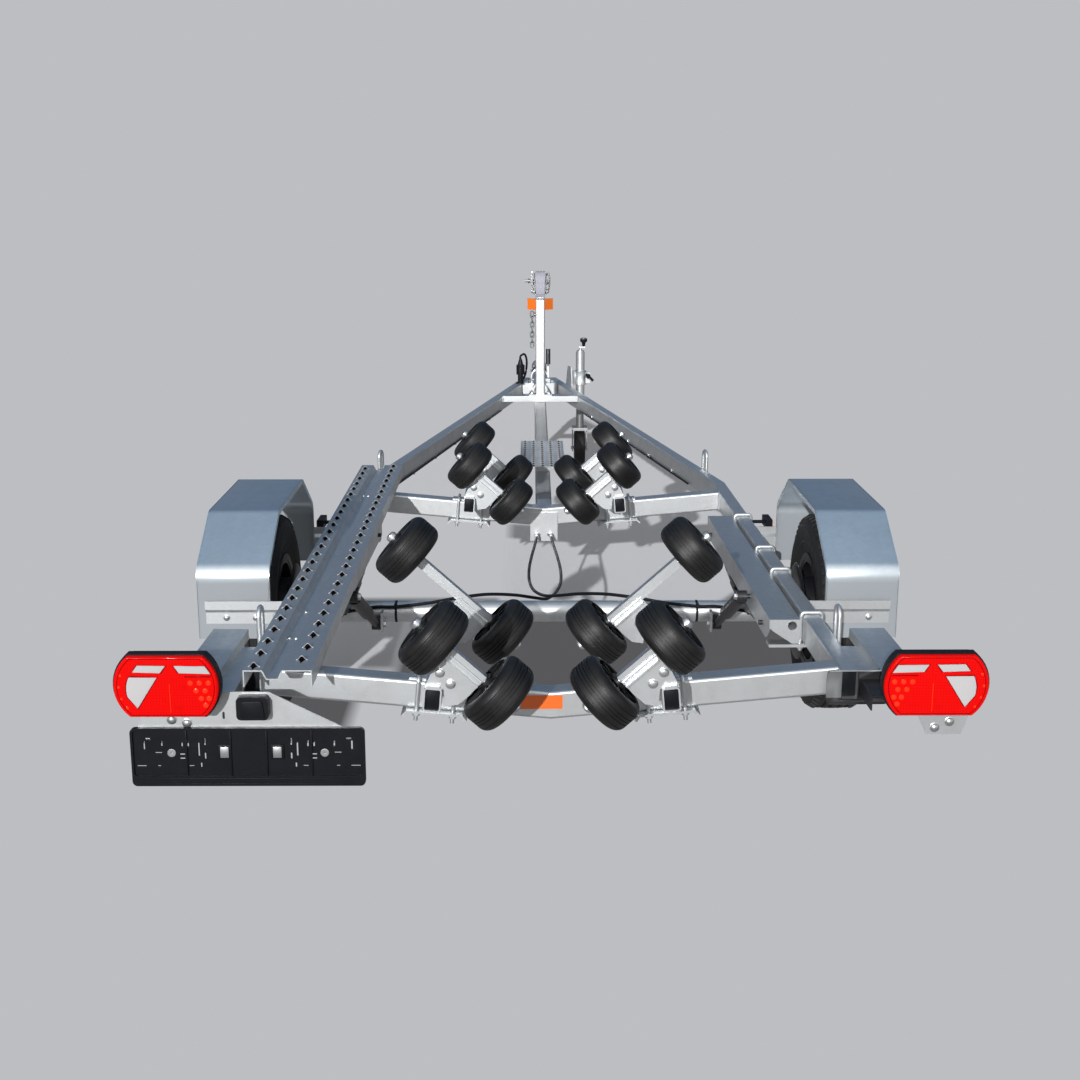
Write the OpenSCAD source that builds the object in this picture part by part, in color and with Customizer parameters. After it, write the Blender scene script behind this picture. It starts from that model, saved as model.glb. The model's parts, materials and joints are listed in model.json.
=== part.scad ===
// Galvanised multi-roller boat trailer, single axle, parked on its jockey wheel.
// Millimetres, +Z up, +Y towards the coupling, +X to the right seen from behind.
// The origin is on the ground, at the middle of the overall length and width.
// Distances called "ahead" or "behind" are measured along Y from the axle.

/* [Side rails] */
// Width of the rail tube
rail_w = 45; // [40:1:60]
// Height of the rail tube
rail_h = 75; // [60:1:90]
// Wall of the rail tube
rail_wall = 3.5; // [2.5:0.5:5]
// Corner radius of the frame tubes
tube_r = 7; // [5:0.5:9]
// Height of the rails' top above the ground
rail_top_z = 460; // [440:5:520]
// Half distance between the rails at their rear ends
rail_rear_x = 700; // [680:5:720]
// Half distance between the rails at the bend
rail_kink_x = 660; // [650:5:680]
// Half distance between the rails at their front ends
rail_front_x = 74; // [70:1:90]
// Rear end of the rails, behind the axle
rail_rear = 1050; // [1040:5:1150]
// Bend of the rails, ahead of the axle
rail_kink = 1150; // [1120:5:1300]
// Front end of the rails, ahead of the axle
rail_front = 4150; // [4100:10:4400]

/* [Cross members] */
// Height of the cross member tubes
cross_h = 67; // [55:1:75]
// Depth of the cross member tubes
cross_d = 60; // [50:1:70]
// Wall of the cross member tubes
cross_wall = 3.5; // [2.5:0.5:5]
// Drop of the cross members at the centre line
cross_drop = 62; // [40:1:80]
// Rear cross member, behind the axle
cross_rear = 1000; // [985:5:1010]
// Front cross member, ahead of the axle
cross_front = 1010; // [990:5:1030]

/* [Keel beam] */
// Width and height of the keel beam tube
keel_s = 60; // [50:1:70]
// Front end of the keel beam, ahead of the axle
keel_front = 3500; // [3460:5:3560]
// Height of the keel beam's top at its front end
keel_front_z = 430; // [425:1:440]
// Length of the perforated step plate
step_l = 560; // [300:10:600]
// Width of the perforated step plate
step_w = 184; // [160:2:240]
// Middle of the step plate, ahead of the axle
step_ahead = 1915; // [1850:5:2300]

/* [Wheels and axle] */
// Outside diameter of the tyre
tyre_d = 590; // [570:2:610]
// Width of the tyre
tyre_w = 162; // [150:1:170]
// Diameter of the rim at the bead seat
rim_d = 330; // [320:1:340]
// Half track, from the centre line to the middle of a tyre
track_x = 860; // [850:1:870]
// Diameter of the axle tube
axle_d = 64; // [58:1:70]
// Diameter of the wheel spindle
spindle_d = 34; // [30:1:40]
// Running clearance between a turning piece and its pin
run_gap = 0.3; // [0.2:0.1:0.5]

/* [Suspension] */
// Length of the spring carrier channels
carrier_l = 1230; // [1220:5:1260]
// Rear end of the spring carriers, behind the axle
carrier_rear = 616; // [605:1:625]
// Width of the spring carrier channels
carrier_w = 80; // [74:1:90]
// Height of the spring carrier channels
carrier_h = 66; // [60:1:70]
// Space for the U-bolts between a rail and its spring carrier
carrier_gap = 11; // [11:0.5:14]
// Width of a spring leaf
leaf_w = 50; // [45:1:56]
// Thickness of a spring leaf
leaf_t = 8; // [6:0.5:9]
// Diameter of the shock absorber's upper body
shock_d = 40; // [34:1:46]

/* [Mudguards] */
// Width of a mudguard
guard_w = 200; // [190:2:210]
// Sheet thickness of a mudguard
guard_t = 3; // [2:0.5:4]
// Half length of a mudguard
guard_half = 430; // [420:5:450]
// Half length of a mudguard's flat top
guard_flat = 228; // [200:2:250]
// Height of a mudguard's flat top
guard_top_z = 660; // [655:1:680]
// Height of a mudguard's knee
guard_knee_z = 538; // [520:2:560]
// Height of a mudguard's lower edge
guard_low_z = 344; // [335:1:360]

/* [Roller cradles] */
// Diameter of a hull roller
roller_d = 174; // [160:1:178]
// Width of a hull roller
roller_w = 80; // [70:1:84]
// Half distance between the lowest rollers of a left and a right cradle
roller_x = 118; // [112:1:126]
// Height of the lowest rollers' centres
roller_z = 463; // [458:1:475]
// Tilt of the roller bars
bar_tilt = 42; // [38:1:44]
// Distance between the rollers on a short bar
bar_short = 193; // [185:1:205]
// Distance between the rollers on the long bar
bar_long = 319; // [300:1:330]
// Section of the roller bars
bar_s = 24; // [20:1:28]
// Diameter of the roller spindles
pin_d = 16; // [14:1:18]
// Half distance between the left and right cradle tubes
cradle_x = 268; // [262:1:280]
// Width of a cradle tube
cradle_w = 40; // [36:1:46]
// Height of a cradle tube
cradle_h = 55; // [50:1:58]
// Distance from the cross member back to the rear roller bar
bar_back = 215; // [205:1:230]
// Distance from the cross member forward to the front roller bar
bar_fore = 245; // [235:1:260]
// Diameter of the U-bolt rods
ubolt_d = 10; // [8:1:12]

/* [Walkway] */
// Width of the walkway plank
walk_w = 156; // [140:2:170]
// Rear end of the walkway plank, behind the axle
walk_rear = 1166; // [1100:2:1190]
// Length of the walkway plank
walk_l = 2454; // [2200:2:2500]
// Height of the walkway plank
walk_h = 40; // [36:1:46]
// Distance between the punched grips along a row
grip_pitch = 94; // [80:1:120]
// Diameter of the punched grip holes
grip_d = 15; // [12:1:18]

/* [Drawbar] */
// Nose of the coupling head, ahead of the axle
nose_ahead = 4850; // [4840:5:4950]
// Diameter of the draw tube
draw_d = 60; // [50:1:64]
// Height of the draw tube's centre line
draw_z = 430; // [425:1:440]
// Diameter of the towing ball that fits the coupling
ball_d = 50; // [50:0.1:50.4]
// Clearance between the towing ball and its socket
ball_gap = 0.25; // [0.2:0.05:0.5]

/* [Winch] */
// Winch post, ahead of the axle
post_ahead = 3440; // [3430:5:3470]
// Section of the winch post tube
post_s = 48; // [44:1:54]
// Height of the winch post's top
post_top_z = 985; // [950:5:1020]
// Gap between the winch's side plates
winch_gap = 56; // [50:1:60]
// Number of teeth on the drum gear
gear_teeth = 36; // [36:12:36]
// Number of teeth on the crank pinion
pinion_teeth = 12; // [12:12:12]
// Gear module
gear_m = 3; // [2.8:0.1:3.2]

/* [Jockey wheel] */
// Jockey wheel tube, ahead of the axle
jockey_ahead = 3850; // [3840:5:3870]
// Jockey wheel tube, to the right of the centre line
jockey_x = 222; // [218:1:226]
// Outside diameter of the jockey tube
jockey_d = 48; // [46:1:50]
// Bore of the jockey tube
jockey_bore = 42; // [41:0.5:43]
// Diameter of the jockey wheel
castor_d = 200; // [190:2:206]
// Width of the jockey wheel
castor_w = 60; // [50:1:64]
// Trail of the jockey wheel
castor_trail = 50; // [44:1:60]

/* [Lamps and number plate] */
// Width of a rear lamp
lamp_w = 240; // [225:1:250]
// Height of a rear lamp
lamp_h = 148; // [140:1:155]
// Middle of a rear lamp, from the centre line
lamp_x = 855; // [850:1:860]
// Height of a rear lamp's middle
lamp_z = 482; // [478:1:490]
// Rear face of the rear lamps, behind the axle
lamp_rear = 1228; // [1220:1:1240]
// Depth of a rear lamp
lamp_depth = 60; // [50:1:70]
// Length of the number plate holder
plate_l = 532; // [525:1:540]
// Height of the number plate holder
plate_h = 140; // [130:1:145]

/* [Hidden] */
$fn = 48;

// Colours of the finishes
ZINC = "#bfc5c8";
BLACK = "#232426";
RUBBER = "#1c1c1d";
RED = "#8e1218";
ORANGE = "#d9561c";
AMBER = "#c9822a";
STEEL = "#9a9fa3";

// Gaps between pieces that bear on each other
seat_gap = 0.3;
hole_gap = 0.6;
far = 2000;

// Overall length and the axle's place in it
rear_reach = cross_rear + bar_back + roller_d / 2;
axle_y = (rear_reach - nose_ahead) / 2;
tyre_r = tyre_d / 2;

// Bent line of a rail: angles of its two straights, centre line and inner face
rear_angle = atan((rail_rear_x - rail_kink_x) / (rail_rear + rail_kink));
vee_angle = atan((rail_kink_x - rail_front_x) / (rail_front - rail_kink));
function rail_x(d) = d <= rail_kink
    ? rail_kink_x + (rail_kink - d) * tan(rear_angle)
    : rail_kink_x - (d - rail_kink) * tan(vee_angle);
function rail_face_x(d) = rail_x(d) - rail_w / 2 / cos(d <= rail_kink ? rear_angle : vee_angle);
rail_low_z = rail_top_z - rail_h;

// Cross members: slope, and height of the top at a distance from the centre line
cross_span = rail_face_x(-cross_rear);
cross_slope = atan(cross_drop / cross_span);
function cross_top(x) = rail_top_z - cross_drop + abs(x) * tan(cross_slope);

// Keel beam, sloping up from the front cross member
keel_rear = cross_front + cross_d / 2;
keel_rear_z = cross_top(0) - 4;
keel_slope = atan((keel_front_z - keel_rear_z) / (keel_front - keel_rear));
function keel_top(d) = keel_rear_z + (d - keel_rear) * tan(keel_slope);

// Winch cross bar, lying on the keel beam between the rails
bar_h = 30;
bar_d = 70;
winch_bar_z = keel_top(post_ahead + bar_d / 2) + seat_gap;
winch_bar_top = winch_bar_z + bar_h;

// Cradles: [distance ahead of the axle, roller distance] of each bar
REAR_BARS = [[-cross_rear - bar_back, bar_short], [-cross_rear + bar_fore, bar_long]];
FRONT_BARS = [[cross_front - bar_back, bar_short], [cross_front + bar_fore, bar_short]];
saddle_t = 5;
clamp_t = 6;
clamp_l = 132;
clamp_leg = 43;
plate_t = 5;
pin_head = 8;
TREAD_GROOVES = [-27, -21, -8, 0, 8, 21, 27];

// Axle, springs, shock absorbers
drum_in = track_x - tyre_w / 2 - 10;
rim_half = tyre_w / 2 - 14;
flange_h = 12;
spring_x = -rail_w / 2 - carrier_gap - carrier_w / 2;
eye_y = 505;
eye_z = 412;
eye_bolt = 14;
carrier_low = rail_top_z - 8 - carrier_h;
CARRIER_BOLTS = [-596, -143, 123, 572];
rail_strap_t = 8;
function carrier_face(d) = rail_x(d) - rail_w / 2 / cos(rear_angle) - carrier_gap - carrier_w;
shock_high = [carrier_face(-300) - 24, -300, 426];
shock_low = [512, -46, 268];

// Rail fittings, measured from the axle
eye_behind = 750;
eye_ahead = 1430;
marker_ahead = 620;
plug_ahead = 3900;
plate_mid_x = -690;
plate_mid_z = 297;

// Rear sheets: the plane that lamps and number plate holder bear on
lamp_back = -lamp_rear + lamp_depth + seat_gap;

// Overrun housing
housing_rear = rail_front - 330;
housing_l = 620;
housing_d = 86;

// Brake cables at the keel plate
cable_d = 9;
cable_x = 17;
cable_z = 300;

// Gears
drum_z = post_top_z + 62;
gear_r = gear_m * gear_teeth / 2;
pinion_r = gear_m * pinion_teeth / 2;
crank_ahead = post_ahead + gear_r + pinion_r;
gear_t = 9;
winch_t = 4;
gear_x = -winch_gap / 2 - winch_t - 5 - gear_t;

// Shared shapes

module pair() {
    children();
    mirror([1, 0, 0]) children();
}

module left() {
    mirror([1, 0, 0]) children();
}

// Moves to a point that is given from the axle
module ahead(d, x = 0, z = 0) {
    translate([x, axle_y + d, z]) children();
}

module rounded(w, h, r) {
    square([w - 2 * r, h], center = true);
    square([w, h - 2 * r], center = true);
    for (sx = [-1, 1], sy = [-1, 1])
        translate([sx * (w / 2 - r), sy * (h / 2 - r)]) circle(r);
}

// Box tube along +Y, centred on X and Z
module box_tube(l, w, h, wall, r = tube_r) {
    rotate([-90, 0, 0]) linear_extrude(l) difference() {
        rounded(w, h, r);
        rounded(w - 2 * wall, h - 2 * wall, r - wall + 0.5);
    }
}

// Round bar along +Y, +X or +Z
module bar_y(l, d) {
    rotate([-90, 0, 0]) cylinder(h = l, d = d);
}

module bar_x(l, d) {
    rotate([0, 90, 0]) cylinder(h = l, d = d);
}

// Flat plate whose outline lies in X and Z, thickness along +Y
module plate_xz(t) {
    translate([0, t, 0]) rotate([90, 0, 0]) linear_extrude(t) children();
}

// Flat plate whose outline lies in Y and Z, thickness along +X
module plate_yz(t) {
    rotate([90, 0, 90]) linear_extrude(t) children();
}

// U-bolt over a bar that lies along X: inside width, leg length below the bends, height of the nuts' top
module u_bolt(inside, leg, d, nut_top) {
    mid = inside / 2 + d / 2;
    bend = d;
    translate([0, -mid + bend, d / 2]) bar_y(2 * (mid - bend), d);
    for (s = [-1, 1]) {
        translate([0, s * mid, d / 2 - bend - leg]) cylinder(h = leg, d = d);
        translate([0, s * mid, nut_top - 0.8 * d]) cylinder(h = 0.8 * d, d = 1.9 * d, $fn = 6);
        translate([0, s * (mid - bend), d / 2 - bend]) rotate([90, 0, s * 90])
            rotate_extrude(angle = 90) translate([bend, 0]) circle(d = d);
    }
}

// Frame of a point on the rear straight of the right rail, Y along the rail
module on_rail(d) {
    translate([rail_x(d), axle_y + d, 0]) rotate([0, 0, rear_angle]) children();
}

// Frame of a point on the front straight of the right rail, Y along the rail
module on_vee(d) {
    translate([rail_x(d), axle_y + d, 0]) rotate([0, 0, vee_angle]) children();
}

// Frame on the top of the right half of a cross member, X along its slope
module on_cross(d, x) {
    ahead(d, x, cross_top(x)) rotate([0, -cross_slope, 0]) children();
}

// Frame of a roller bar: origin at the lowest roller's centre, +X up along the bar
module on_bar(d) {
    ahead(d, roller_x, roller_z) rotate([0, -bar_tilt, 0]) children();
}

// Frame rails

module rail() {
    spare = 200;
    color(ZINC) {
        intersection() {
            on_rail(-rail_rear) translate([0, 0, rail_top_z - rail_h / 2])
                box_tube(rail_rear + rail_kink + spare, rail_w, rail_h, rail_wall);
            rail_half(true);
        }
        intersection() {
            on_vee(rail_kink) translate([0, -spare, rail_top_z - rail_h / 2])
                box_tube(spare + (rail_front - rail_kink) / cos(vee_angle), rail_w, rail_h, rail_wall);
            rail_half(false);
        }
    }
}

// Half space behind or ahead of the rail's mitre
module rail_half(behind) {
    translate([rail_kink_x, axle_y + rail_kink, 0])
        rotate([0, 0, (rear_angle + vee_angle) / 2])
            translate([-far / 2, behind ? -2 * far : 0, 0]) cube([far, 2 * far, far]);
}

module rail_right() {
    rail();
}

module rail_left() {
    left() rail();
}

// Cross member with a V drop, its ends cut along the rails' inner faces
module cross_member(d) {
    half = [[0, -cross_d], [rail_face_x(d - cross_d) - seat_gap, -cross_d],
            [rail_face_x(d + cross_d) - seat_gap, cross_d], [0, cross_d]];
    pair() intersection() {
        on_cross(d, 0) translate([-100, 0, -cross_h / 2])
            rotate([0, 0, -90]) box_tube(far, cross_d, cross_h, cross_wall);
        ahead(d) linear_extrude(far) polygon(half);
    }
}

module crossmember_rear() {
    color(ZINC) cross_member(-cross_rear);
}

module crossmember_front() {
    color(ZINC) cross_member(cross_front);
}

// Keel beam, and the plate behind the front cross member that its bolts and the brake cables pass
module keel_beam() {
    plate_w = 100;
    plate_drop = 122;
    color(ZINC) {
        ahead(keel_rear + 1.5, 0, keel_rear_z) rotate([keel_slope, 0, 0]) translate([0, 0, -keel_s / 2])
            box_tube((keel_front - keel_rear) / cos(keel_slope), keel_s, keel_s, 3.5);
        ahead(cross_front - cross_d / 2 - seat_gap - plate_t, 0, cross_top(0) - plate_drop) difference() {
            translate([-plate_w / 2, 0, 0]) cube([plate_w, plate_t, plate_drop - 14]);
            for (s = [-1, 1]) translate([s * cable_x, -1, cable_z - cross_top(0) + plate_drop])
                bar_y(plate_t + 2, cable_d + 2 * seat_gap);
        }
    }
}

// Perforated step on the keel beam, with a fold along each side and two feet
module step_plate() {
    h = 24;
    t = 3;
    holes = [5, 13];
    hole_d = 15;
    foot = 30;
    color(ZINC) ahead(step_ahead, 0, keel_top(step_ahead)) rotate([keel_slope, 0, 0]) {
        translate([-step_w / 2, -step_l / 2, seat_gap]) difference() {
            cube([step_w, step_l, h]);
            translate([t, -1, -1]) cube([step_w - 2 * t, step_l + 2, h - t + 1]);
            for (i = [0 : holes[0] - 1], j = [0 : holes[1] - 1])
                translate([step_w * (i + 0.5) / holes[0], step_l * (j + 0.5) / holes[1], 0])
                    cylinder(h = h + 2, d = hole_d);
        }
        for (s = [-1, 1]) translate([-keel_s / 2, s * (step_l / 2 - foot) - foot / 2, seat_gap])
            cube([keel_s, foot, h - t / 2]);
    }
}

// Channel between the V rails that carries the winch post
module winch_crossbar() {
    rear_x = rail_face_x(post_ahead - bar_d / 2) - seat_gap;
    fore_x = rail_face_x(post_ahead + bar_d / 2) - seat_gap;
    wall = 5;
    color(ZINC) ahead(post_ahead, 0, winch_bar_z) difference() {
        linear_extrude(bar_h)
            polygon([[-rear_x, -bar_d / 2], [rear_x, -bar_d / 2], [fore_x, bar_d / 2], [-fore_x, bar_d / 2]]);
        translate([-far, -bar_d / 2 + wall, -1]) cube([2 * far, bar_d - 2 * wall, bar_h - wall + 1]);
    }
}

// Overrun housing, draw tube and coupling head

module overrun_housing() {
    color(ZINC) ahead(housing_rear, 0, draw_z) difference() {
        union() {
            bar_y(housing_l, housing_d);
            for (d = [rail_front - 240, rail_front - 60]) translate([0, d - housing_rear, 0])
                overrun_flange(d);
            translate([0, housing_l - 30, 0]) bar_y(30, housing_d + 14);
        }
        translate([0, -1, 0]) bar_y(housing_l + 2, draw_d + 2 * run_gap);
    }
}

// Flange of the overrun housing, reaching to both rails' inner faces
module overrun_flange(d) {
    t = 14;
    w = rail_face_x(d + t) - seat_gap;
    translate([-w, 0, -rail_h / 2 + 8]) cube([2 * w, t, rail_h - 16]);
}

module coupling_head() {
    socket_r = ball_d / 2 + ball_gap;
    tube_front = nose_ahead - 180;
    nose_r = 45;
    color(STEEL) difference() {
        union() {
            ahead(housing_rear + 20, 0, draw_z) bar_y(tube_front - housing_rear - 20, draw_d);
            ahead(tube_front - 40, 0, draw_z) bar_y(90, draw_d + 16);
            ahead(nose_ahead - nose_r, 0, draw_z - 40) cylinder(h = 50, r = nose_r);
            ahead(nose_ahead - nose_r, 0, draw_z + 10) intersection() {
                sphere(r = nose_r);
                cylinder(h = nose_r, r = nose_r);
            }
            ahead(nose_ahead - 150, -34, draw_z - 32) cube([68, 105, 60]);
            ahead(nose_ahead - 210, -14, draw_z + 24) rotate([9, 0, 0]) cube([28, 150, 14]);
        }
        ahead(nose_ahead - nose_r, 0, draw_z - 41) cylinder(h = 26, r = socket_r);
        ahead(nose_ahead - nose_r, 0, draw_z - 15) sphere(r = socket_r);
    }
}

// Ribbed rubber gaiter over the draw tube
module gaiter() {
    rear = housing_rear + housing_l + seat_gap;
    l = nose_ahead - 220 - seat_gap - rear;
    ribs = 7;
    color(RUBBER) ahead(rear, 0, draw_z) rotate([-90, 0, 0]) difference() {
        union() {
            cylinder(h = l, d = draw_d + 12);
            for (i = [0 : ribs - 1]) translate([0, 0, l * (i + 0.2) / ribs])
                cylinder(h = 0.6 * l / ribs, d = draw_d + 30);
        }
        translate([0, 0, -1]) cylinder(h = l + 2, d = draw_d + 2 * seat_gap);
    }
}

module handbrake_lever() {
    lean = -8;
    color(BLACK) ahead(rail_front + 100, housing_d / 2 + seat_gap, draw_z) {
        bar_x(14, 34);
        rotate([lean, 0, 0]) {
            translate([3, -8, 0]) cube([8, 16, 120]);
            translate([7, 0, 92]) cylinder(h = 88, d = 26);
        }
    }
}

// Running gear

module axle_beam() {
    color(ZINC) ahead(0, 0, tyre_r) {
        translate([-drum_in, 0, 0]) bar_x(2 * drum_in, axle_d);
        pair() {
            translate([drum_in - 8, 0, 0]) bar_x(8, 220);
            translate([drum_in, 0, 0]) bar_x(track_x + 10 - drum_in, spindle_d);
            translate([shock_low[0] - 14 - 7, shock_low[1] - 20, shock_low[2] - tyre_r - 20])
                cube([7, 44, 60]);
        }
    }
}

// Inverted channel that carries a leaf spring, lying along the rail's inner side.
// A plate with a sloping lower edge and a round port closes its rear end.
module carrier() {
    wall = 5;
    nib = 25;
    heel = 17;
    slope = 62;
    port_d = 24;
    port_edge = 3;
    port = [carrier_w - wall - port_d / 2 - port_edge, carrier_h - wall - port_d / 2];
    on_rail(-carrier_rear) translate([-rail_w / 2 - carrier_gap - carrier_w, 0, carrier_low]) difference() {
        cube([carrier_w, carrier_l, carrier_h]);
        translate([wall, wall, -1]) cube([carrier_w - 2 * wall, carrier_l, carrier_h - wall + 1]);
        translate([-1, 0, 0]) plate_yz(wall + 2)
            polygon([[-1, -1], [slope, -1], [wall, carrier_h - nib], [-1, carrier_h - nib]]);
        translate([0, -1, 0]) plate_xz(wall + 2)
            polygon([[-1, -1], [carrier_w - heel, -1], [0, carrier_h - nib], [-1, carrier_h - nib]]);
        translate([port[0], -1, port[1]]) bar_y(wall + 2, port_d);
        for (s = [-1, 1]) translate([-1, carrier_rear / cos(rear_angle) + s * eye_y, eye_z - carrier_low])
            bar_x(carrier_w + 2, eye_bolt + 2);
    }
}

// U-bolt over the rail with the strap below that holds rail and carrier together
module carrier_bolt(d) {
    low = min(rail_low_z, carrier_low) - seat_gap - rail_strap_t;
    leg_x = rail_w / 2 + seat_gap + ubolt_d / 2;
    inner = rail_w / 2 + carrier_gap + carrier_w;
    half = 22;
    margin = 16;
    leg = rail_top_z - low + ubolt_d;
    on_rail(d) {
        translate([0, 0, rail_top_z + seat_gap]) rotate([0, 0, 90])
            u_bolt(rail_w + 2 * seat_gap, leg, ubolt_d, low - rail_top_z - 2 * seat_gap);
        translate([0, 0, low]) difference() {
            translate([-inner, -half, 0]) cube([inner + leg_x + margin, 2 * half, rail_strap_t]);
            for (s = [-1, 1]) translate([s * leg_x, 0, -1])
                cylinder(h = rail_strap_t + 2, d = ubolt_d + hole_gap);
        }
    }
}

module spring_carriers() {
    color(ZINC) pair() {
        carrier();
        for (d = CARRIER_BOLTS) carrier_bolt(d);
    }
}

// Leaf springs: arcs that rise to an eye at each end, a bolt in each eye and a clamp plate in the middle
module leaf_springs() {
    low = tyre_r + axle_d / 2 + seat_gap;
    leaves = 3;
    sag = eye_z - (low + (leaves - 0.5) * leaf_t);
    bow_r = (eye_y * eye_y + sag * sag) / (2 * sag);
    color(BLACK) pair() on_rail(0) translate([spring_x, 0, low]) {
        for (i = [0 : leaves - 1]) {
            reach = eye_y - 150 * (leaves - 1 - i) - (i == leaves - 1 ? 0 : 30);
            sweep = 2 * asin(reach / bow_r);
            r = bow_r - i * leaf_t;
            translate([0, 0, bow_r]) rotate([0, 90, 0]) rotate([0, 0, -sweep / 2])
                rotate_extrude(angle = sweep, $fn = 720)
                    translate([r - leaf_t, -leaf_w / 2]) square([leaf_t, leaf_w]);
        }
        for (s = [-1, 1]) translate([0, s * eye_y, eye_z - low]) {
            translate([-leaf_w / 2, 0, 0]) bar_x(leaf_w, eye_bolt + 2 * leaf_t);
            translate([-carrier_w / 2 - 10, 0, 0]) bar_x(carrier_w + 10, eye_bolt);
        }
        translate([-35, -45, leaves * leaf_t - 1]) cube([70, 90, 9]);
    }
}

// Cylinder between two points
module strut(p, q, d, from = 0, to = 1) {
    v = q - p;
    l = norm(v);
    translate(p) rotate([0, acos(v[2] / l), atan2(v[1], v[0])]) translate([0, 0, from * l])
        cylinder(h = (to - from) * l, d = d);
}

module shock_absorbers() {
    color(BLACK) pair() ahead(0) {
        strut(shock_low, shock_high, shock_d, 0.42, 0.96);
        strut(shock_low, shock_high, 26, 0.02, 0.5);
        for (p = [shock_low, shock_high]) translate(p - [14 - seat_gap, 0, 0]) bar_x(28 - 2 * seat_gap, 34);
        translate(shock_high) bar_x(carrier_face(shock_high[1]) - shock_high[0] - seat_gap, 14);
    }
}

// Mudguards: faceted sheet with a lip along each edge

function guard_line(t) = [
    [-guard_half + t, guard_low_z], [-guard_half + t, guard_knee_z - t * 0.55],
    [-guard_flat + t * 0.27, guard_top_z - t], [guard_flat - t * 0.27, guard_top_z - t],
    [guard_half - t, guard_knee_z - t * 0.55], [guard_half - t, guard_low_z]];

module guard_sheet(w, depth) {
    plate_yz(w) difference() {
        polygon(guard_line(0));
        polygon(concat([[-guard_half + depth, guard_low_z - 1]], guard_line(depth),
                       [[guard_half - depth, guard_low_z - 1]]));
    }
}

module mudguards() {
    lip = 14;
    color(ZINC) pair() ahead(0, track_x - guard_w / 2) {
        guard_sheet(guard_w, guard_t);
        guard_sheet(guard_t, lip);
        translate([guard_w - guard_t, 0, 0]) guard_sheet(guard_t, lip);
    }
}

// Pressed brackets from the rails to the ends of the mudguards, with a stiffening step along their upper half
module mudguard_brackets() {
    t = 4;
    step = 10;
    foot = 60;
    reach = track_x + 76;
    low = rail_low_z + 3;
    half_h = 34;
    full_h = 66;
    section = [[0, 0], [t, 0], [t, half_h - 2], [t + step, half_h - 2 + step], [t + step, full_h],
               [step, full_h], [step, half_h + step], [0, half_h]];
    color(ZINC) pair() for (s = [-1, 1]) {
        d = s * (guard_half + seat_gap);
        face = rail_x(d) + rail_w / 2 + t / 2;
        ahead(d, face, low) plate_yz(reach - face) polygon([for (p = section) [s * p[0], p[1]]]);
        on_rail(d) translate([rail_w / 2 + seat_gap, s > 0 ? 0 : -foot, low]) cube([t, foot, half_h]);
    }
}

// Wheels

module tyre() {
    seat = rim_d / 2 + seat_gap;
    low = rim_d / 2 + flange_h + 2;
    rotate([0, 90, 0]) rotate_extrude() {
        translate([(low + tyre_r) / 2, 0]) rounded(tyre_r - low, tyre_w, 34);
        translate([seat, -rim_half + 0.6]) square([40, 2 * rim_half - 1.2]);
    }
}

// Wheel: barrel with two flanges, disc with openings, and the brake drum on its hub
module rim() {
    seat = rim_d / 2;
    barrel = 10;
    drum_face = track_x - drum_in - 5;
    difference() {
        rotate([0, 90, 0]) rotate_extrude() {
            translate([seat - barrel, -rim_half]) square([barrel, 2 * rim_half]);
            for (s = [0, 1]) translate([seat - barrel, s > 0 ? rim_half : -rim_half - 4])
                square([barrel + flange_h, 4]);
            translate([0, 18]) square([seat - 4, 8]);
            translate([0, -drum_face]) square([104, drum_face + 22]);
            translate([0, 20]) square([38, 34]);
        }
        translate([-tyre_w, 0, 0]) bar_x(tyre_w + 15, spindle_d + 2 * run_gap);
        for (a = [0 : 45 : 315]) rotate([a, 0, 0]) translate([0, 0, 130]) bar_x(80, 26);
    }
}

module tyre_right() {
    color(RUBBER) ahead(0, track_x, tyre_r) tyre();
}

module tyre_left() {
    left() tyre_right();
}

module rim_right() {
    color(ZINC) ahead(0, track_x, tyre_r) rim();
}

module rim_left() {
    left() rim_right();
}

// Roller cradles

module cradle_bar(d, gap) {
    on_bar(d) {
        reach = roller_w / 2 + 6;
        translate([reach, -bar_s / 2, -bar_s / 2]) cube([gap - 2 * reach, bar_s, bar_s]);
        translate([-reach - pin_head, 0, 0]) bar_x(gap + 2 * (reach + pin_head), pin_d);
        for (x = [-reach - pin_head, gap + reach]) translate([x, 0, 0]) bar_x(pin_head, pin_d + 12);
    }
}

// Bracket of a roller bar: a plate with a bolt ear and a folded edge, and the cradle tube's ear behind it
module cradle_plate(d) {
    inner = roller_w / 2 + 8;
    outer = bar_short - inner;
    fold = 14;
    back = -bar_s / 2 - plate_t + 0.5;
    ear = [outer - 13, -47];
    on_bar(d) {
        translate([0, back, 0]) plate_xz(plate_t) {
            polygon([[inner, -4], [outer, -4], [outer, ear[1]], [outer - 24, -58], [outer - 41, -68],
                     [inner + 22, -98], [inner + 4, -76], [inner, -44]]);
            translate(ear) circle(13);
        }
        translate([inner + 2, back - fold, -bar_s / 2 - plate_t])
            cube([outer - inner - 4, fold + 1, plate_t - 1]);
        translate([0, back + plate_t - 0.5, 0]) plate_xz(plate_t)
            polygon([[135, -98], [101, -74], [84, -46], [92, -32], [118, -32], [outer, -40], [outer, -60]]);
    }
}

module cradle(cross, bars) {
    over = 25;
    tab_w = cradle_w - 12;
    first = bars[0][0] - over;
    last = bars[1][0] + over;
    on_cross(cross, cradle_x) translate([0, first - cross, saddle_t + cradle_h / 2])
        box_tube(last - first, cradle_w, cradle_h, 3.5);
    for (b = bars) {
        cradle_bar(b[0], b[1]);
        cradle_plate(b[0]);
    }
    on_cross(cross, cradle_x) for (b = bars)
        translate([-tab_w / 2, b[0] - cross - over, saddle_t + cradle_h - 1]) cube([tab_w, over, plate_t]);
}

module cradles_rear() {
    color(ZINC) pair() cradle(-cross_rear, REAR_BARS);
}

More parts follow.
